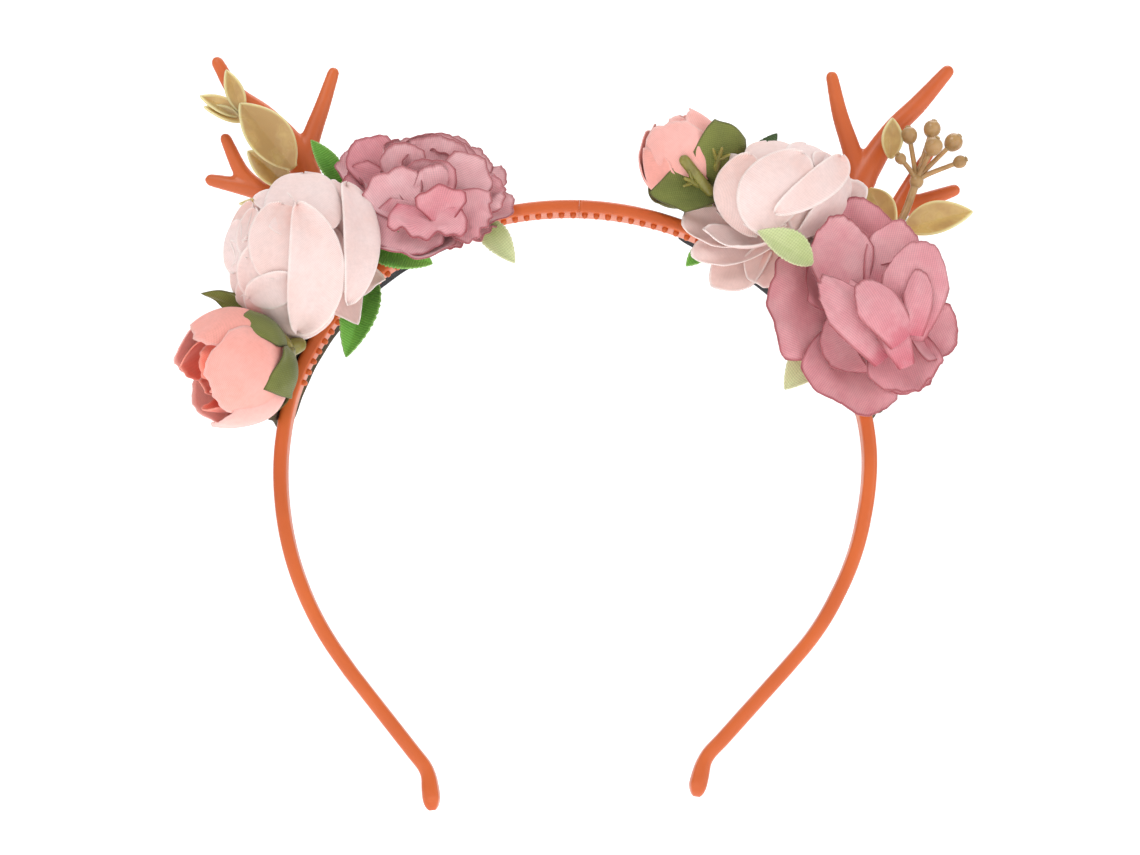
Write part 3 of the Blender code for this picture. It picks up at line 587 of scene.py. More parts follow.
# ---- petals -------------------------------------------------------------------------------------
class Flower:
    """A flower's place: its root, its axis and two directions across it (right, then up or back)."""

    def __init__(self, root, axis):
        self.root, self.axis = np.array(root, float), unit(axis)
        across = np.array([1.0, 0.0, 0.0])
        self.right = unit(across - self.axis * (across @ self.axis))
        self.up = np.cross(self.axis, self.right)

    def radial(self, degrees):
        a = np.radians(degrees)
        return np.cos(a) * self.right + np.sin(a) * self.up


PETAL_WALL, LEAF_WALL, SPRIG_WALL = 0.26, 0.3, 0.55
PETAL_EDGE, WRAP_EDGE, BLADE_EDGE = 1.3, 1.1, 0.7
RIM_START, FULL_WIDTH_AT, RUFFLE_WAVES, CRIMP_WAVES = 0.62, 0.62, 2.2, 15
# A petal layer's blank is nominal, not measured. It is a square as wide as the head, larger where the
# petals would not fit on it and smaller where they would cover too little of it for a sheet.
LEAST_SIDE, BLANK_MARGIN, LEAST_SHARE, LEAF_SHARE = 10.0, 1.02, 0.32, 0.31
PETAL_DEFAULTS = dict(r0=2.5, cup=0.6, belly=0.12, curl=0.8, ruffle=0.3, point=0.0,
                      crimp=0.0, lean=0.0, base=0.42, tone=None, jag=0.0, rim_drop=0.30)


def petal(flower, angle, r1, z1, width, **changes):
    """One petal as a function of u across (-1..1) and v from root to rim (0..1).

    Its middle line is a quadratic curve from radius r0, height 0 to r1, z1 that bellies outwards.
    Across it bends as an arc of half angle `cup` towards the inside. The rim rolls out by `curl`,
    waves by `ruffle`, creases by `crimp`, leans by `lean`, and falls away to the sides or to a point.
    """
    p = {**PETAL_DEFAULTS, **changes}
    columns, rows = 31, 25
    u, v = np.linspace(-1, 1, columns)[None, :], np.linspace(0, 1, rows)[:, None]
    phase = rng.uniform(0, 2 * np.pi, 6)
    round_rim = 1 - p["rim_drop"] * np.abs(u) ** 2.3
    sharp_rim = 1 - 0.48 * np.abs(u) ** 1.05
    reach = (1 - p["point"]) * round_rim + p["point"] * sharp_rim
    reach = reach + 0.018 * np.sin(3.1 * u + phase[0]) + 0.014 * np.sin(6.7 * u + phase[1])
    reach = reach + p["jag"] * (np.sin(17 * u + phase[2]) + 0.7 * np.sin(31 * u + phase[3]))
    t = v * reach
    start, end = np.array([p["r0"], 0.0]), np.array([r1, z1])
    length = np.linalg.norm(end - start)
    way = (end - start) / length
    out = np.array([way[1], -way[0]])
    control = (start + end) / 2 + out * 2 * p["belly"] * length
    line = (1 - t)[..., None] ** 2 * start + 2 * (t * (1 - t))[..., None] * control + t[...,
                                                                                        None] ** 2 * end
    slope = unit(2 * (1 - t)[..., None] * (control - start) + 2 * t[..., None] * (end - control))
    normal = np.stack([slope[..., 1], -slope[..., 0]], -1)
    half = width / 2 * (p["base"] + (1 - p["base"]) * np.sin(np.pi / 2 * np.clip(t / FULL_WIDTH_AT, 0, 1)))
    bend = p["cup"] if abs(p["cup"]) > 0.02 else 0.02
    across = half / bend * np.sin(u * bend)
    rise = half / bend * (1 - np.cos(u * bend))
    rim = smooth((v - RIM_START) / 0.38)
    roll = p["curl"] * rim ** 1.4
    roll = roll + p["ruffle"] * smooth((v - 0.35) / 0.65) * np.sin(RUFFLE_WAVES * np.pi * u + phase[4])
    roll = roll + p["crimp"] * rim * np.sin(CRIMP_WAVES * u + phase[5] + 2 * v)
    roll = roll + p["lean"] * u
    shift = roll - rise
    flat = line + normal * shift[..., None] - slope * (0.35 * p["curl"] * rim ** 2)[..., None]
    radial, tangent = flower.radial(angle), np.cross(flower.axis, flower.radial(angle))
    points = (flower.root + flat[..., :1] * radial + flat[..., 1:] * flower.axis + across[...,
                                                                                          None] * tangent)
    arc = length * (1 + 2 * p["belly"] ** 2)
    turn = rng.uniform(-0.6, 0.6)
    x, y = u * half, t * arc
    cloth = np.stack([x * np.cos(turn) - y * np.sin(turn), x * np.sin(turn) + y * np.cos(turn), 0 * x], -1)
    from_rim, from_side = (1 - v) * arc * reach, (1 - np.abs(u)) * half
    near = np.clip(1 - np.minimum(from_rim, from_side + 0 * v) / PETAL_EDGE, 0, 1)
    tone = rng.uniform(0, 1) if p["tone"] is None else p["tone"]
    # The along value drives the cloth's painted shade, darkest at the root.
    shade = np.stack([near, v + 0 * u, tone + 0 * near], -1)
    patch = Patch(points, cloth, shade)
    patch.area = under(2 * half.mean(axis=1), t.mean(axis=1) * arc)
    return patch


# Right, up and outward directions of a ball seen from the front.
FRONT = (unit([1.0, 0.0, 0.0]), unit([0.0, -0.14, 0.99]), unit([0.0, -0.99, -0.14]))


def laid_petal(ball, start, tip, width, **changes):
    """A petal set by where its start and tip lie from the ball's centre and by the way it faces."""
    start, tip = np.array(ball) + start, np.array(ball) + tip
    way = tip - start
    length = np.linalg.norm(way)
    facing = np.array(changes.pop("facing", (0.0, -1.0, 0.1)), float)
    flower = Flower(start, facing - way * (facing @ way) / length ** 2)
    angle = math.degrees(math.atan2(way @ flower.up, way @ flower.right))
    settings = dict(r0=0.0, curl=0.3, ruffle=0.3, base=0.5, rim_drop=0.38)
    return petal(flower, angle, length, 0.0, width, **{**settings, **changes})


def wrap_petal(ball, stretch, radius, start, end, width, bend=0.0, lift=(0.5, 0.5, 0.3), full=0.75,
               tone=None,
               ruffle=0.15, jag=0.0, peak=1.0):
    """A petal that lies on a flower's ball, as a function of u across (-1..1) and v along (0..1).

    Its middle line is a quadratic curve on the ball from `start` to `end`, bowed sideways by `bend`;
    both are offsets across the front of the ball. The half width is a sine of v to the power `peak`,
    raised to `full`. The two sides and the end stand off the ball by the three values of `lift`.
    """
    columns, rows = 29, 33
    u, v = np.linspace(-1, 1, columns)[None, :], np.linspace(0, 1, rows)[:, None]
    phase = rng.uniform(0, 2 * np.pi, 4)

    def unrolled(q):
        q = np.array(q, float) / stretch[:2]
        far = np.linalg.norm(q)
        return q * (radius * np.arcsin(min(far / radius, 0.999)) / max(far, 1e-6))

    start, end = unrolled(start), unrolled(end)
    way = end - start
    length = np.linalg.norm(way)
    square = np.array([-way[1], way[0]]) / length
    control = (start + end) / 2 + square * 2 * bend
    line = (1 - v) ** 2 * start + 2 * v * (1 - v) * control + v * v * end
    slope = unit(2 * (1 - v) * (control - start) + 2 * v * (end - control))
    half = 0.5 * width * np.maximum(np.sin(np.pi * v ** peak), 0.0) ** full + 0.3
    half = half * (1 + 0.03 * np.sin(7 * v + phase[0]) + jag * np.sin(60 * v + phase[1]))
    flat = line[:, None] + (u * half)[..., None] * np.stack([-slope[:, 1], slope[:, 0]], -1)[:, None]
    far = np.linalg.norm(flat, axis=-1)
    angle = far / radius
    left, right, tip = lift
    stand = left * smooth((u - 0.1) / 0.9) + right * smooth((-u - 0.1) / 0.9)
    stand = stand + tip * smooth((v - 0.55) / 0.45)
    stand = stand + ruffle * np.abs(u) ** 2 * np.sin(5 * v + phase[2] + 2 * u)
    way_out = (np.sin(angle) * flat[..., 0] / np.maximum(far, 1e-6))[..., None] * stretch[0] * FRONT[0]
    way_out = way_out + (np.sin(angle) * flat[..., 1] / np.maximum(far, 1e-6))[...,
                                                                               None] * stretch[1] * FRONT[1]
    way_out = way_out + np.cos(angle)[..., None] * stretch[2] * FRONT[2]
    points = np.array(ball) + (radius + stand)[..., None] * way_out
    turn = rng.uniform(-0.6, 0.6)
    x, y = u * half, v * length + 0 * u
    cloth = np.stack([x * np.cos(turn) - y * np.sin(turn), x * np.sin(turn) + y * np.cos(turn), 0 * x], -1)
    near = np.clip(1 - (1 - np.abs(u)) * half / WRAP_EDGE, 0, 1)
    tone = rng.uniform(0, 1) if tone is None else tone
    # For a wrap the along value starts at a quarter, so its painted shade is mild and deepest at its start.
    shade = np.stack([near, 0.25 + 0.5 * v + 0 * u, tone + 0 * near], -1)
    patch = Patch(points, cloth, shade)
    patch.area = under(2 * half[:, 0], v[:, 0] * length)
    return patch


def petal_layer(node, flower, entries, material, slot, body, size, wraps=(), laid=(), ball=None,
                stretch=(1.0, 1.0, 1.0), **shared):
    """One CAD petal layer as cloth: entries stand round the axis, wraps and laid ones go by the ball."""
    jag = shared.get("jag", 0.0)
    patches = []
    for entry in entries:
        changes = entry[4] if len(entry) > 4 else {}
        patches.append(petal(flower, *entry[:4], **{**shared, **changes}))
    for entry in wraps:
        patches.append(wrap_petal(ball, stretch, *entry[:4], **{"jag": jag, **entry[4]}))
    for entry in laid:
        patches.append(laid_petal(ball, *entry[:3], **{"jag": jag, **entry[3]}))
    obj = to_mesh(f"{node}_cloth", patches, material, body, thickness=PETAL_WALL)
    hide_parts(node)
    area = sum(p.area for p in patches)
    side = max(size, math.sqrt(area) * BLANK_MARGIN, LEAST_SIDE)
    side = min(side, math.sqrt(area / LEAST_SHARE))
    side * MM
    side * MM


def stalk(node, flower, foot, normal, cup_radius, length=3.0, prongs=0, spikes=()):
    """Moulded stalk from the pad into the flower's root, ending in a shallow pronged cup."""
    root = flower.root
    reach = 0.4 * np.linalg.norm(root - foot)
    path = curve_through([foot, foot + normal * reach, root - flower.axis * reach, root], 16)
    patches = [tube(path, np.interp(np.linspace(0, 1, 16), [0, 0.12, 0.7, 1], [2.4, 1.5, 1.5, 2.2]), 14)]
    profile = np.array([(0.3, -2.2), (1.6, -2.0), (0.72 * cup_radius, -0.9), (cup_radius, 0.6),
                        (cup_radius * 0.98, 1.0), (0.6 * cup_radius, 0.2), (0.2, 0.0)])
    turn = np.arange(24) * 2 * np.pi / 24
    around = np.cos(turn)[:, None] * flower.right + np.sin(turn)[:, None] * flower.up
    cup = root + profile[:, :1, None] * around[None] + profile[:, 1:, None] * flower.axis
    patches.append(Patch(cup, ring=True, caps=True))
    for angle in np.arange(prongs) * 360 / max(prongs, 1) + 30:
        radial = flower.radial(angle)
        start = root + radial * cup_radius * 0.9
        way = unit(radial * 0.75 + flower.axis)
        tip = start + way * length
        side_way = np.cross(radial, flower.axis)
        for path_end in (tip + side_way * 0.9 + way * 1.2, tip - side_way * 0.9 + way * 1.2):
            line = curve_through([start, tip, path_end], 8)
            patches.append(tube(*round_ends(line, np.linspace(0.75, 0.35, 8)), 8, guide=radial))
    for start, tip, thick, thin in spikes:
        line = np.linspace(start, tip, 8)
        patches.append(tube(*round_ends(line, np.linspace(thick, thin, 8), start=True), 12,
                            guide=(0.3, 1.0, 0.2)))
    obj = to_mesh(node + "_moulding", patches, CALYX, None)
    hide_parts(node)
    return obj


def felt_top(side, s, y):
    return hoop(side, s, felt_under(y) + FELT_THICK + 0.05, y)


def hoop_normal(side, s):
    return unit(hoop(side, s, 1.0) - hoop(side, s, 0.0))


MAUVE_STYLE = dict(jag=0.006, crimp=0.10, ruffle=0.45)
BLUSH_STYLE = dict(ruffle=0.25, jag=0.003)

# Petals standing round a flower's axis are (angle, end radius, end height, width, changes). Wraps are
# (radius, start, end, width, changes) on the ball; laid ones are (start, tip, width, changes) from its
# centre.
ROSES = {
    "rose_mauve_left": dict(side=LEFT, foot=(33.5, -2.5), root=(-32.5, -7.0, 0.0), axis=(0.06, -0.75, 0.66),
        # Painted light: the left mauve rose's petals are set pale (tone 0.95), paler than the same cloth on
        # the right rose, for the brighter light on it.
        material=MAUVE, slot="mauve_fabric", style={**MAUVE_STYLE, "tone": 0.95}, size=44,
        outer=[(134, 20.5, 5, 14), (104, 17.5, 5, 13), (76, 18.2, 6, 17), (50, 17.4, 6, 13),
               (27, 17.4, 5.5, 14),
               (0, 18.8, 2.5, 16), (-36, 16.5, 1.5, 15, dict(crimp=0.35)),
               (-68, 15.5, 0.5, 14, dict(crimp=0.35)),
               (-99, 20.0, 1.0, 20, dict(curl=0.2)), (153, 21.5, 4.5, 14), (195, 18.0, 3.0, 16)],
        middle=[(-20, 14.5, 6.5, 17), (70, 13.0, 9.5, 19), (172, 14.0, 7.5, 17)],
        inner=[(155, 8.5, 12.5, 13, dict(cup=0.9, belly=0.25)),
               (95, 8.5, 11.5, 15, dict(cup=0.9, belly=0.25))],
        heart=[(-70, 3.0, 12.5, 12, dict(cup=1.2, belly=0.30)),
               (60, 4.0, 11.0, 10, dict(cup=1.3, belly=0.2)),
               (170, 4.0, 11.5, 10, dict(cup=1.3, belly=0.2))],
        ball=(-32.5, -13.0, 0.3),
        laid=dict(
            outer=[((-5.0, 0.0, 1.0), (-14.6, -0.5, 11.4), 12.0, dict(curl=0.5, rim_drop=0.2, crimp=0.15)),
                   ((-6.0, -1.0, -1.0), (-16.6, -1.0, 4.4), 10.0, dict(curl=0.5, rim_drop=0.2)),
                   ((1.0, 1.0, 2.0), (3.6, 0.5, 13.2), 14.0,
                    dict(curl=0.5, crimp=0.3, rim_drop=0.2, ruffle=0.6)),
                   ((5.0, -1.0, -1.0), (16.8, -1.6, 2.0), 10.0, dict(crimp=0.3, rim_drop=0.2, ruffle=0.6)),
                   ((-2.6, -4.0, -2.0), (-4.2, -6.4, -13.6), 17.0, dict(cup=0.3, crimp=0.1, rim_drop=0.3))],
            middle=[((4.0, -2.0, -1.0), (12.0, -3.0, 7.4), 12.0, dict(cup=0.5, rim_drop=0.2, ruffle=0.5)),
                    ((-3.0, -2.0, 1.0), (-5.6, -3.4, 10.4), 10.5, dict(cup=0.7, rim_drop=0.2, belly=0.2)),
                    ((5.0, -4.0, -3.0), (13.6, -6.0, -6.4), 13.0,
                     dict(crimp=0.5, rim_drop=0.12, ruffle=0.6, base=0.6)),
                    ((1.4, -5.0, -3.4), (1.2, -8.6, -9.6), 17.0,
                     dict(tone=0.3, crimp=0.5, curl=1.2, cup=0.4, rim_drop=0.12, ruffle=0.7, base=0.8))],
            inner=[((1.4, -3.0, -4.6), (-0.2, -5.0, 6.6), 14.0,
                    dict(cup=0.7, belly=0.2, rim_drop=0.15, curl=0.7)),
                   ((-3.4, -4.0, -6.0), (-7.8, -6.8, 3.2), 13.0,
                    dict(cup=0.4, belly=0.16, tone=0.9, base=0.3, rim_drop=0.12, ruffle=0.5, curl=0.8)),
                   ((4.4, -5.6, -6.4), (3.6, -9.0, -0.4), 11.5,
                    dict(cup=0.7, belly=0.25, tone=0.2, base=0.5, rim_drop=0.1, ruffle=0.5, curl=0.8))])),
    "rose_blush_left": dict(side=LEFT, foot=(57.0, -3.0), root=(-49.4, -7.6, -13.8),
                            axis=(-0.88, -0.47, 0.06),
        material=BLUSH, slot="blush_fabric", style=BLUSH_STYLE, size=40, ball=(-57.3, -12.0, -13.0),
        outer=[(80, 17.0, 7, 20, dict(point=0.2)), (-85, 16.5, 8, 22), (135, 16.5, 8, 20),
               (185, 16.0, 8, 20), (235, 16.5, 8, 20)],
        middle=[(125, 13.5, 15, 22, dict(belly=0.3, cup=1.0)),
                (180, 13.5, 15, 22, dict(belly=0.3, cup=1.0)),
                (235, 13.5, 15, 22, dict(belly=0.3, cup=1.0))],
        inner=[(20, 9.0, 16.5, 15, dict(belly=0.25, cup=1.0)),
               (-45, 9.0, 16.5, 15, dict(belly=0.25, cup=1.0)),
               (75, 9.0, 17, 15, dict(belly=0.25, cup=1.0)),
               (135, 9.0, 17.5, 16, dict(belly=0.27, cup=1.0)),
               (195, 9.0, 17.5, 16, dict(belly=0.27, cup=1.0)),
               (255, 9.0, 17, 15, dict(belly=0.25, cup=1.0))],
        heart=[(50, 6.0, 17.4, 12, dict(belly=0.2, cup=1.2)),
               (170, 6.4, 18.0, 13, dict(belly=0.2, cup=1.2)),
               (-70, 6.0, 17.4, 12, dict(belly=0.2, cup=1.2)), (20, 4.0, 19.0, 9, dict(belly=0.2, cup=1.3)),
               (140, 4.0, 19.4, 9, dict(belly=0.2, cup=1.3)),
               (260, 4.0, 19.4, 9, dict(belly=0.2, cup=1.3))],
        wraps=dict(
            outer=[(17.2, (-1.0, -5.0), (-2.6, -16.8), 21.0,
                    dict(full=0.42, lift=(0.3, 0.3, 0.4), peak=0.8)),
                   (16.8, (-5.0, -5.0), (-11.4, -11.6), 9.0,
                    dict(full=0.5, lift=(0.3, 0.3, 0.3), tone=0.0)),
                   (16.5, (4.0, 6.0), (7.6, 15.0), 10.0, dict(full=0.5, lift=(0.3, 0.3, 0.3))),
                   (17.0, (1.8, 3.0), (0.0, 16.3), 17.0, dict(full=0.36, lift=(0.4, 0.4, 0.4), peak=0.85))],
            middle=[(17.6, (8.6, 14.6), (9.8, -9.8), 9.8,
                     dict(bend=3.3, lift=(0.8, 1.1, 0.5), full=0.52, peak=0.8)),
                    (16.7, (-0.8, 9.4), (-9.3, 10.3), 5.5, dict(bend=-0.5, lift=(0.3, 0.6, 0.3))),
                    (16.4, (-10.0, 10.2), (-13.2, 0.0), 7.5,
                     dict(bend=-1.0, lift=(0.3, 0.5, 0.3), full=0.55)),
                    (16.7, (-9.0, 8.8), (-9.4, -1.5), 5.5, dict(bend=-0.6, lift=(0.3, 0.7, 0.3), full=0.6)),
                    (17.0, (-12.2, 6.4), (-12.6, -4.4), 5.6,
                     dict(bend=-1.2, lift=(0.2, 0.6, 0.2), full=0.5)),
                    (16.4, (-9.4, -2.0), (-12.2, -8.6), 6.0,
                     dict(bend=-0.6, lift=(0.3, 0.7, 0.3), full=0.55))],
            inner=[(17.3, (-3.0, 9.6), (-3.8, -5.6), 10.6,
                    dict(bend=-0.6, lift=(0.3, 0.8, 0.3), full=0.36)),
                   (17.1, (-7.4, 1.4), (-9.8, -8.6), 5.4, dict(bend=-0.6, lift=(0.3, 0.7, 0.3), full=0.6)),
                   (17.5, (0.6, -5.6), (-9.4, -9.4), 7.4, dict(bend=0.3, lift=(0.3, 1.0, 0.3), full=0.45)),
                   (18.0, (-0.2, 9.6), (0.0, -15.7), 11.2,
                    dict(bend=4.6, lift=(1.0, 0.9, 0.3), full=0.6, peak=1.12))],
            heart=[(15.4, (-10.5, -9.5), (-10.5, 10.0), 17.0,
                    dict(full=0.4, lift=(0.0, 0.0, 0.0), tone=0.2, ruffle=0.0))] + [
                   (15.4 + 0.24 * ring_size, (-12.0 + 0.6 * ring_size * math.cos(a),
                                              0.5 + ring_size * math.sin(a)),
                    (-12.0 + 0.6 * ring_size * math.cos(a + 2.3), 0.5 + ring_size * math.sin(a + 2.3)),
                    1.2 * ring_size,
                    dict(bend=-0.42 * ring_size, lift=(0.6, 0.0, 0.0), full=0.65, ruffle=0.05))
                   for ring_size, first in ((4.8, 0.4), (3.1, 1.4), (1.6, 0.0))
                   for a in (first, first + 2.1, first + 4.2)]),
        laid=dict(outer=[((6.0, -2.0, -4.0), (17.6, -2.5, -4.8), 10.0, dict(point=1.0)),
                         ((6.0, -2.0, -4.0), (12.0, -3.0, -14.4), 10.0, dict(point=1.0))])),
    "rose_blush_right": dict(side=RIGHT, foot=(45.0, -3.0), root=(43.0, -6.0, -5.0),
                             axis=(-0.05, -0.60, 0.80),
        material=BLUSH, slot="blush_fabric", style=BLUSH_STYLE, size=42, ball=(41.7, -12.5, 3.6),
        stretch=(1.3, 0.92, 0.9),
        outer=[(22, 18.5, 10, 19), (60, 16.0, 11, 18), (105, 14.0, 12, 18), (-20, 16.0, 5, 18),
               (165, 14.0, 9, 16)],
        middle=[(40, 14.0, 13.0, 18, dict(belly=0.22)), (82, 11.0, 15.0, 18, dict(belly=0.22)),
                (140, 11.5, 14.0, 18, dict(belly=0.22))],
        inner=[(20, 8.5, 15.0, 15, dict(belly=0.26, cup=0.9)),
               (90, 8.0, 17.0, 15, dict(belly=0.26, cup=0.9, point=0.5)),
               (155, 8.0, 15.0, 15, dict(belly=0.26, cup=0.9))],
        heart=[(-60, 4.5, 15.5, 11, dict(belly=0.2, cup=1.3)),
               (60, 4.5, 16.0, 11, dict(belly=0.2, cup=1.3)),
               (180, 4.5, 15.5, 11, dict(belly=0.2, cup=1.3))],
        wraps=dict(
            outer=[(10.9, (9.5, 4.0), (9.0, -8.2), 9.0, dict(bend=1.5, full=0.6)),
                   (11.0, (3.0, -1.0), (6.5, -9.0), 9.5, dict(bend=1.5, full=0.6)),
                   (11.2, (4.6, 2.0), (5.6, 10.2), 8.0, dict(full=0.8, lift=(0.3, 0.3, 0.3))),
                   (11.0, (-2.0, 2.0), (-2.6, 9.9), 9.0, dict(full=0.5, lift=(0.3, 0.3, 0.3))),
                   (11.3, (9.0, 2.0), (12.6, 7.4), 10.0, dict(full=0.45, lift=(0.3, 0.3, 0.3)))],
            middle=[(11.8, (-6.2, 6.8), (-4.0, -9.0), 9.0,
                     dict(bend=-2.6, lift=(0.3, 0.9, 0.4), full=0.58)),
                    (11.7, (13.2, 4.2), (3.4, -9.4), 7.5, dict(bend=1.4, lift=(0.3, 0.5, 0.3), full=0.6))],
            inner=[(12.4, (4.2, 7.2), (-3.0, -8.6), 10.5, dict(bend=-1.8, lift=(0.4, 0.9, 0.3), full=0.52)),
                   (13.1, (12.2, 7.4), (-1.4, -5.2), 5.8, dict(bend=1.2, lift=(0.9, 0.3, 0.3), full=0.6))]),
        laid=dict(
            outer=[((-2.5, 0.5, -9.0), (-20.2, -1.5, -6.8), 10.5, dict(facing=(0.0, -0.9, 0.35), curl=0.2)),
                   ((-1.5, 0.0, -10.5), (-18.2, -1.5, -13.4), 9.0, dict(facing=(0.0, -0.9, 0.25))),
                   ((-2.5, 1.0, -11.0), (-13.2, 0.0, -20.4), 11.0, dict(facing=(0.0, -0.95, 0.2))),
                   ((-0.5, 0.5, -11.0), (-4.4, -0.5, -20.0), 10.0, dict(facing=(0.0, -0.95, 0.2)))],
            middle=[((-0.5, -6.0, -10.2), (-12.2, -2.5, 6.4), 10.5,
                     dict(facing=(-0.55, -0.8, 0.1), belly=-0.1, cup=0.3)),
                    ((0.5, -3.0, -10.0), (-15.6, -5.0, -9.4), 10.0,
                     dict(facing=(-0.05, -0.72, 0.68), cup=1.15, belly=0.2, curl=0.2))])),
    "rose_mauve_right": dict(side=RIGHT, foot=(67.0, -3.0), root=(59.0, -8.5, -21.0),
                             axis=(0.42, -0.90, 0.06),
        material=MAUVE, slot="mauve_fabric", style=MAUVE_STYLE, size=48, ball=(65.0, -16.0, -19.9),
        outer=[(180, 21.5, 2.6, 24, dict(tone=0.3, curl=1.6, cup=0.15)),
               (262, 21.8, 4.6, 24, dict(tone=0.3, curl=1.2, cup=0.2)),
               (-41, 21.0, 4, 18, dict(tone=0.1)), (-14, 20.5, 4, 18), (27, 18.0, 5, 18),
               (140, 15.0, 3, 18, dict(tone=0.0))],
        middle=[(-58, 16.0, 9, 20, dict(cup=0.9, crimp=0.2)), (-15, 15.5, 10, 19, dict(cup=0.8)),
                (28, 14.5, 10, 18, dict(cup=0.8))],
        inner=[(62, 10.5, 12, 18, dict(belly=0.25, cup=0.9)),
               (0, 10.0, 13.0, 17, dict(belly=0.28, cup=0.9)),
               (-48, 10.0, 13.0, 18, dict(belly=0.3, cup=0.9))],
        heart=[(-60, 6.0, 14.5, 13, dict(belly=0.3, cup=1.1)),
               (60, 6.0, 14.5, 13, dict(belly=0.3, cup=1.1)),
               (180, 5.0, 12.0, 12, dict(belly=0.3, cup=1.1))],
        laid=dict(
            outer=[((-3.4, 3.0, 4.0), (-7.4, -1.0, 21.4), 15.0, dict(tone=0.2, cup=0.3)),
                   ((-1.0, 2.0, -3.0), (-13.0, 0.5, -12.4), 15.0, dict(tone=0.3, cup=0.1, curl=0.0))],
            middle=[((-9.2, -1.0, 0.0), (-11.6, -6.5, 16.2), 15.0,
                     dict(cup=0.7, belly=0.2, tone=0.55, base=0.6, crimp=0.25, jag=0.012)),
                    ((-3.4, -2.0, 2.0), (2.4, -5.5, 15.8), 11.5, dict(cup=0.4, tone=0.55)),
                    ((0.5, -4.0, -8.0), (4.0, -7.0, -19.6), 17.0,
                     dict(crimp=0.35, tone=0.22, base=0.7, jag=0.012)),
                    ((3.0, -7.0, -5.0), (13.4, -4.5, -9.0), 14.5, dict(cup=0.8, belly=0.16, tone=0.22))],
            inner=[((2.0, -7.0, -9.0), (5.6, -9.0, 11.2), 14.5,
                    dict(cup=-0.45, belly=-0.12, tone=0.22, base=0.6)),
                   ((3.8, -11.0, -9.0), (4.6, -11.4, 4.8), 6.4, dict(cup=-0.4, belly=-0.08, tone=0.15)),
                   ((2.4, -9.6, -15.2), (-3.6, -10.2, -2.2), 7.0, dict(cup=-0.3, belly=-0.08, tone=0.15)),
                   ((-1.8, -7.0, -13.4), (-15.8, -9.0, 3.0), 10.4,
                    dict(cup=-0.25, belly=-0.14, tone=0.22, crimp=0.15, jag=0.012, point=0.25))],
            heart=[((1.6, -11.0, -10.0), (-8.4, -12.6, 1.4), 9.4,
                    dict(cup=-0.35, belly=-0.14, tone=0.12, base=0.7))])),
}


def build_rose(name, spec):
    """The calyx and the four petal layers of one rose, each layer a node of its own."""
    side, body = spec["side"], BODY[spec["side"]]
    flower = Flower(spec["root"], spec["axis"])
    s, y = spec["foot"]
    cup = stalk(name + "_calyx", flower, felt_top(side, s, y), hoop_normal(side, s), 4.2)
    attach(cup, body)
    for label in ("outer", "middle", "inner", "heart"):
        node = f"{name}_{label}" + ("" if label == "heart" else "_petals")
        petal_layer(node, flower, spec[label], spec["material"], spec["slot"], body, spec["size"],
                    wraps=spec.get("wraps", {}).get(label, ()), laid=spec["laid"].get(label, ()),
                    ball=spec["ball"], stretch=spec.get("stretch", (1.0, 1.0, 1.0)), **spec["style"])


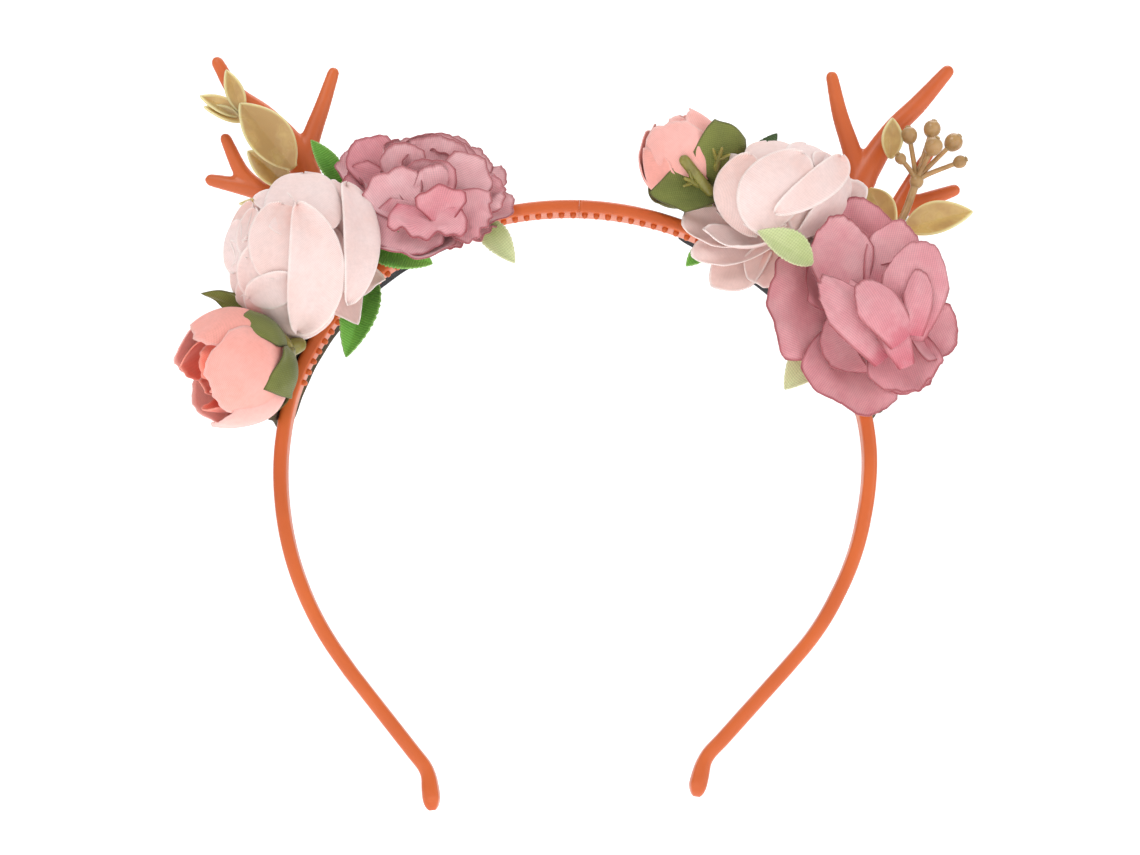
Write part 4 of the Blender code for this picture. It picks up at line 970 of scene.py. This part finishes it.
# ---- buds ---------------------------------------------------------------------------------------
BUDS = {
    "bud_left": dict(side=LEFT, heart_cloth=CORAL_DEEP, foot=(71.0, -4.5), root=(-60.5, -14.5, -33.5),
                     axis=(-0.80, -0.42, -0.42),
        spikes=[((-60.6, -22.0, -34.6), (-63.8, -26.4, -38.8), 0.7, 0.3),
                ((-61.4, -23.6, -36.2), (-61.4, -26.0, -39.6), 0.5, 0.25)],
        ball=(-69.5, -17.0, -37.9), laid=[((5.0, 0.5, 10.6), (-8.0, -1.0, 15.2), 5.5,
                                           dict(point=0.9, facing=(0.0, -0.7, -0.7)))],
        size=34, sepal=[(75, 10.5, 13, 12), (10, 11.5, 12, 13), (-60, 10.5, 11, 11), (160, 10.5, 11, 11),
                        (235, 10.5, 11, 11)],
        outer=[(25, 8.8, 21.5, 23), (100, 9.5, 19.5, 20), (175, 9.0, 20.0, 20), (250, 9.5, 19.0, 20),
               (-45, 9.0, 20.5, 20)],
        heart=[(60, 5.8, 20.5, 15), (180, 5.8, 20.5, 15), (300, 5.8, 20.0, 15), (0, 3.0, 18.5, 9),
               (120, 3.0, 18.5, 9),
               (240, 3.0, 18.5, 9)]),
    "bud_right": dict(side=RIGHT, heart_cloth=CORAL, foot=(26.5, -3.5), root=(26.5, -6.5, 2.5),
                      axis=(-0.46, -0.25, 0.85),
        spikes=[((21.6, -18.6, 8.2), (27.0, -15.0, 2.6), 1.2, 1.2),
                ((28.2, -15.5, 7.4), (29.2, -20.4, 10.6), 0.8, 0.3),
                ((28.4, -17.5, 8.8), (27.4, -20.2, 10.4), 0.5, 0.25),
                ((28.6, -17.5, 8.8), (30.8, -20.0, 9.4), 0.5, 0.25),
                ((26.0, -14.5, 3.4), (21.8, -18.6, 4.4), 0.9, 0.35),
                ((23.4, -16.8, 4.0), (21.6, -18.4, 2.8), 0.5, 0.25),
                ((23.4, -16.8, 4.0), (22.6, -18.6, 6.0), 0.5, 0.25)],
        ball=(20.4, -10.5, 12.0),
        laid=[((10.0, -3.0, -6.6), (7.2, -8.0, 5.8), 12.8,
               dict(point=0.6, facing=(0.3, -0.95, 0.1), belly=-0.1, cup=-0.3)),
              ((7.8, -3.5, -8.8), (-5.8, -6.5, -10.4), 11.0,
               dict(point=0.7, facing=(-0.1, -0.98, 0.1), belly=-0.1, cup=0.3))],
        size=30, sepal=[(80, 8.8, 11, 11), (150, 8.8, 10, 11)],
        outer=[(-100, 5.0, 18.5, 19), (-20, 5.2, 18.3, 18), (60, 5.2, 18.0, 18), (140, 5.2, 18.0, 18),
               (205, 6.6, 16.0, 16)],
        heart=[(-60, 2.6, 19.0, 10), (60, 2.6, 19.0, 10), (180, 2.6, 19.0, 10)]),
}


def build_bud(name, spec):
    """The pronged calyx, sepals, outer petals and heart of one bud."""
    side, body = spec["side"], BODY[spec["side"]]
    flower = Flower(spec["root"], spec["axis"])
    s, y = spec["foot"]
    cup = stalk(name + "_calyx", flower, felt_top(side, s, y), hoop_normal(side, s), 5.2,
                3.4, 3,
                spec["spikes"])
    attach(cup, body)
    petal_layer(name + "_sepals", flower, spec["sepal"], SEPAL, "sepal_fabric", body, spec["size"],
                laid=spec["laid"], ball=spec["ball"], belly=0.30, cup=0.75, point=0.75, base=0.5, r0=3.0,
                curl=0.6,
                ruffle=0.15)
    petal_layer(name + "_outer_petals", flower, spec["outer"], CORAL, "coral_fabric", body, spec["size"],
                belly=0.30, cup=1.0, curl=0.3, ruffle=0.3, jag=0.006, lean=0.5, rim_drop=0.22)
    petal_layer(name + "_heart", flower, spec["heart"], spec["heart_cloth"], "coral_fabric", body,
                spec["size"], belly=0.22, cup=1.2, curl=0.2, ruffle=0.3, jag=0.006)


# ---- leaves, sprigs and berries -----------------------------------------------------------------
def blade(base, tip, width, cup=0.35, bow=0.10, wave=0.25, teeth=0.0, facing=(0.0, -1.0, 0.15), stem=0.12,
          fold=0.0):
    """A pointed blade as a function of u across (-1..1) and v from base to tip (0..1).

    Half width is the width times a sine of v raised to 0.8, the edges rise by `cup`, the blade bows
    along its length and its midrib is creased by `fold`.
    """
    base, tip = np.array(base, float), np.array(tip, float)
    rows, columns = 34, 17
    u, v = np.linspace(-1, 1, columns)[None, :], np.linspace(0, 1, rows)[:, None]
    length = np.linalg.norm(tip - base)
    along = (tip - base) / length
    across = unit(np.cross(along, np.asarray(facing, float)))
    normal = np.cross(across, along)
    phase = rng.uniform(0, 2 * np.pi, 2)
    half = 0.5 * width * np.maximum(np.sin(np.pi * v ** 0.82) ** 0.8, stem * (1 - v) + 0.01)
    half = half * (1 + teeth * np.sin(v * length * 7 + phase[0]))
    lift = cup * half * np.abs(u) ** 1.6 + bow * length * np.sin(np.pi * v) + fold * (np.abs(u) - 0.5) * half
    lift = lift + wave * np.sin(v * 5 + phase[1]) * u * np.sin(np.pi * v)
    points = base + (v * length)[..., None] * along + (u * half)[..., None] * across + lift[...,
                                                                                            None] * normal
    x, y = u * half, v * length + 0 * u
    near = np.clip(1 - (1 - np.abs(u)) * half / BLADE_EDGE, 0, 1)
    shade = np.stack([near, v + 0 * u, rng.uniform(0, 1) + 0 * near], -1)
    patch = Patch(points, np.stack([x, y, 0 * x], -1), shade)
    patch.area = under(2 * half[:, 0], v[:, 0] * length)
    patch.length = length
    return patch


CLOTH_LEAVES = {
    "leaf_green_a": (LEFT, (-49.8, 0.0, 3.6), (-58.0, -1.5, 14.6), 4.6, GREEN, "green_leaf_fabric"),
    "leaf_green_b": (LEFT, (-43.8, -15.0, -11.6), (-30.2, -14.0, -14.2), 8.0, GREEN, "green_leaf_fabric"),
    "leaf_green_c": (LEFT, (-42.6, -9.4, -16.6), (-47.8, -9.8, -33.8), 7.6, GREEN, "green_leaf_fabric"),
    "leaf_pale_d": (LEFT, (-21.6, -8.8, -3.4), (-13.2, -9.4, -12.6), 6.0, PALE, "pale_leaf_fabric"),
    "leaf_pale_e": (RIGHT, (48.4, -20.0, -13.2), (36.8, -22.0, -7.0), 6.6, PALE, "pale_leaf_fabric"),
    "leaf_pale_f": (RIGHT, (53.2, -5.0, -26.8), (44.2, -6.6, -37.4), 8.2, PALE, "pale_leaf_fabric"),
    "leaf_dark_g": (RIGHT, (34.6, 4.0, 8.0), (42.4, 3.0, 20.2), 5.6, DARK, "dark_leaf_fabric"),
    "leaf_green_h": (RIGHT, (27.2, -8.8, -8.4), (22.8, -9.4, -12.2), 3.4, GREEN, "green_leaf_fabric"),
}
SPRIG_BLADES = {
    "sprig_left_oval_leaf": (LEFT, (-61.4, -1.8, 8.0), (-73.6, -1.8, 22.2), 9.6),
    "sprig_left_low_leaf": (LEFT, (-62.4, 0.8, 4.4), (-71.8, 0.9, 12.4), 6.4),
    "sprig_left_thin_leaf": (LEFT, (-64.0, 0.4, 0.6), (-73.0, 0.2, 0.6), 2.4),
    "sprig_left_lobe_a": (LEFT, (-73.2, 1.2, 20.6), (-77.2, 0.6, 30.2), 4.0),
    "sprig_left_lobe_b": (LEFT, (-73.6, 1.4, 20.0), (-82.6, 0.6, 24.2), 3.8),
    "sprig_left_lobe_c": (LEFT, (-73.4, 1.4, 19.0), (-81.6, 0.6, 21.8), 3.2),
    "sprig_right_leaf_out": (RIGHT, (69.6, 0.2, -1.0), (84.6, 0.6, 3.6), 7.4),
    "sprig_right_leaf_in": (RIGHT, (61.4, -5.0, 6.6), (66.6, -7.0, -4.4), 6.4),
    "sprig_right_oval_leaf": (RIGHT, (66.8, 1.2, 14.8), (67.2, 1.4, 24.0), 4.6),
}


def build_leaves():
    """Cloth leaves and the flat leaves and lobes of the two sprigs."""
    for node, (side, base, tip, width, material, slot) in CLOTH_LEAVES.items():
        patch = blade(base, tip, width, teeth=0.05, fold=0.25)
        obj = to_mesh(node + "_cloth", [patch], material, BODY[side], thickness=LEAF_WALL)
        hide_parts(node)
    for node, (side, base, tip, width) in SPRIG_BLADES.items():
        patch = blade(base, tip, width, cup=0.3, bow=0.08, fold=0.35, wave=0.1, stem=0.2)
        obj = to_mesh(node + "_moulding", [patch], SPRIG, BODY[side], thickness=SPRIG_WALL, levels=1)
        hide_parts(node)


HUB = (72.3, 0.0, 9.6)
BERRIES = {
    "berry_a": ((70.6, -0.5, 19.6), 1.75), "berry_b": ((75.6, 0.5, 21.4), 1.85),
    "berry_c": ((75.4, -3.2, 16.6), 1.95),
    "berry_d": ((80.2, 0.5, 18.6), 1.95), "berry_e": ((81.4, -1.0, 14.0), 1.4),
    "berry_f": ((68.6, -2.2, 14.0), 1.2),
}


def build_sprigs():
    """The two sprig stems, and the berries on short stalks from the right one's hub."""
    stems = {
        "sprig_left_stem": (LEFT, (60.0, 1.0), [(-62.5, 2.2, 1.0), (-68.0, 2.2, 12.0), (-74.4, 1.6, 21.8)],
                            0.75, 0.0),
        "sprig_right_stem": (RIGHT, (63.5, 1.5), [(65.5, -1.0, -6.0), (69.6, 0.0, 2.0), HUB], 0.85, 1.5),
    }
    for node, (side, (s, y), knots, radius, ball) in stems.items():
        foot = felt_top(side, s, y)
        path = curve_through([foot, foot + hoop_normal(side, s) * 3, *knots], 40)
        patches = [tube(*round_ends(path, np.full(40, radius)), 12)]
        if ball:
            patches.append(tube(*ball_rings(np.array(HUB), unit(path[-1] - path[-3]), ball), 14))
        obj = to_mesh(node + "_moulding", patches, BERRY if side == RIGHT else SPRIG, BODY[side])
        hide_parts(node)
    for node, (centre, radius) in BERRIES.items():
        centre, hub = np.array(centre), np.array(HUB)
        way = unit(centre - hub)
        path = curve_through([hub, hub + way * 2.5 + (0, 0, 0.5), centre], 14)
        berry = tube(*ball_rings(centre, way, radius), 16)
        crown = [tube(*round_ends([centre + way * radius * 0.8, centre + way * radius * 1.1 + k * 0.35],
                                  np.array([0.4, 0.28])), 8, guide=(0.3, 1.0, 0.2))
                 for k in (np.cross(way, (0, 1, 0)), -np.cross(way, (0, 1, 0)), np.array([0, -1.0, 0]))]
        obj = to_mesh(node + "_moulding", [tube(path, np.linspace(0.62, 0.5, 14), 10), berry, *crown],
                      BERRY, BODY[RIGHT])
        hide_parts(node)


def ball_rings(centre, way, radius):
    """Path and radii of a slightly pear-shaped ball about `centre`."""
    turn = np.radians([-86, -74, -60, -45, -30, -15, 0, 15, 30, 45, 60, 74, 86])
    path = centre + np.sin(turn)[:, None] * way * radius * 1.08
    return path, np.cos(turn) * radius * (1 + 0.08 * np.sin(turn))


# ---- stage --------------------------------------------------------------------------------------
FLOOR_DROP, FLOOR_GLOW, SKY_STRENGTH = 0.0027, 0.5, 0.45
SCENE_CENTRE = Vector((0, -0.004, -0.046))
LIGHTS = (("key", (-0.45, -0.75, 0.75), 0.45, 3.8), ("fill", (0.8, -0.6, 0.15), 0.7, 2.2),
          ("top", (0.1, 0.25, 0.9), 0.6, 3.4))
CAMERA_PITCH, CAMERA_ROLL, CAMERA_LENS, SENSOR_WIDTH, CLIP_START = 8.0, 1.66, 82.5, 36.0, 0.01
CAMERA_PLACE = Vector((-0.0006, -0.5484, -0.12295))


def build_stage():
    """Pale floor under the hoop's tips that curves up into a backdrop, soft lights and the camera."""
    low = CAD_BOX[0][2] - FLOOR_DROP
    turn = np.linspace(0, np.pi / 2, 24)
    profile = np.concatenate([[(-3.0, low)],
                              np.stack([1.6 + 0.8 * np.sin(turn), low + 0.8 * (1 - np.cos(turn))], 1),
                              [(2.4, 4.0)]])
    points = np.stack([np.stack([np.full(len(profile), x), *profile.T], 1) for x in (-4.0, 4.0)], 1) / MM
    f = Finish("white_paper", Roughness=0.9, Emission_Color=(1, 1, 1, 1), Emission_Strength=FLOOR_GLOW)
    f.set("Base Color", f.mix((0.93, 0.93, 0.93, 1), (0.96, 0.96, 0.96, 1), f.noise(f.place(), 3.0)))
    floor = to_mesh("paper_floor", [Patch(points)], f.material)
    world = bpy.data.worlds.new("soft_daylight")
    world.use_nodes = True
    sky = world.node_tree.nodes["Background"]
    sky.inputs["Color"].default_value = (1.0, 1.0, 1.0, 1.0)
    sky.inputs["Strength"].default_value = SKY_STRENGTH
    bpy.context.scene.world = world
    for name, place, size, energy in LIGHTS:
        light = bpy.data.lights.new(name, "AREA")
        light.size, light.energy = size, energy
        lamp = bpy.data.objects.new(name, light)
        bpy.context.scene.collection.objects.link(lamp)
        lamp.location = SCENE_CENTRE + Vector(place)
        lamp.rotation_mode = "QUATERNION"
        lamp.rotation_quaternion = (-Vector(place)).to_track_quat("-Z", "Y")
    pitch, roll = math.radians(CAMERA_PITCH), math.radians(CAMERA_ROLL)
    ahead = Vector((0, math.cos(pitch), math.sin(pitch)))
    right, up = Vector((1, 0, 0)), Vector((0, -math.sin(pitch), math.cos(pitch)))
    x_axis = right * math.cos(roll) + up * math.sin(roll)
    y_axis = up * math.cos(roll) - right * math.sin(roll)
    camera = bpy.data.cameras.new("camera")
    camera.lens, camera.sensor_width, camera.clip_start = CAMERA_LENS, SENSOR_WIDTH, CLIP_START
    holder = bpy.data.objects.new("camera", camera)
    bpy.context.scene.collection.objects.link(holder)
    turn = Matrix((x_axis, y_axis, -ahead)).transposed().to_4x4()
    holder.matrix_world = Matrix.Translation(CAMERA_PLACE) @ turn
    bpy.context.scene.camera = holder
    bpy.context.scene.view_settings.view_transform = "Standard"


for hoop_side in (LEFT, RIGHT):
    build_hoop(hoop_side)
    build_felt(hoop_side)
    build_antler(hoop_side)
for rose_name, rose_spec in ROSES.items():
    build_rose(rose_name, rose_spec)
for bud_name, bud_spec in BUDS.items():
    build_bud(bud_name, bud_spec)
build_leaves()
build_sprigs()
build_stage()

bpy.context.view_layer.update()
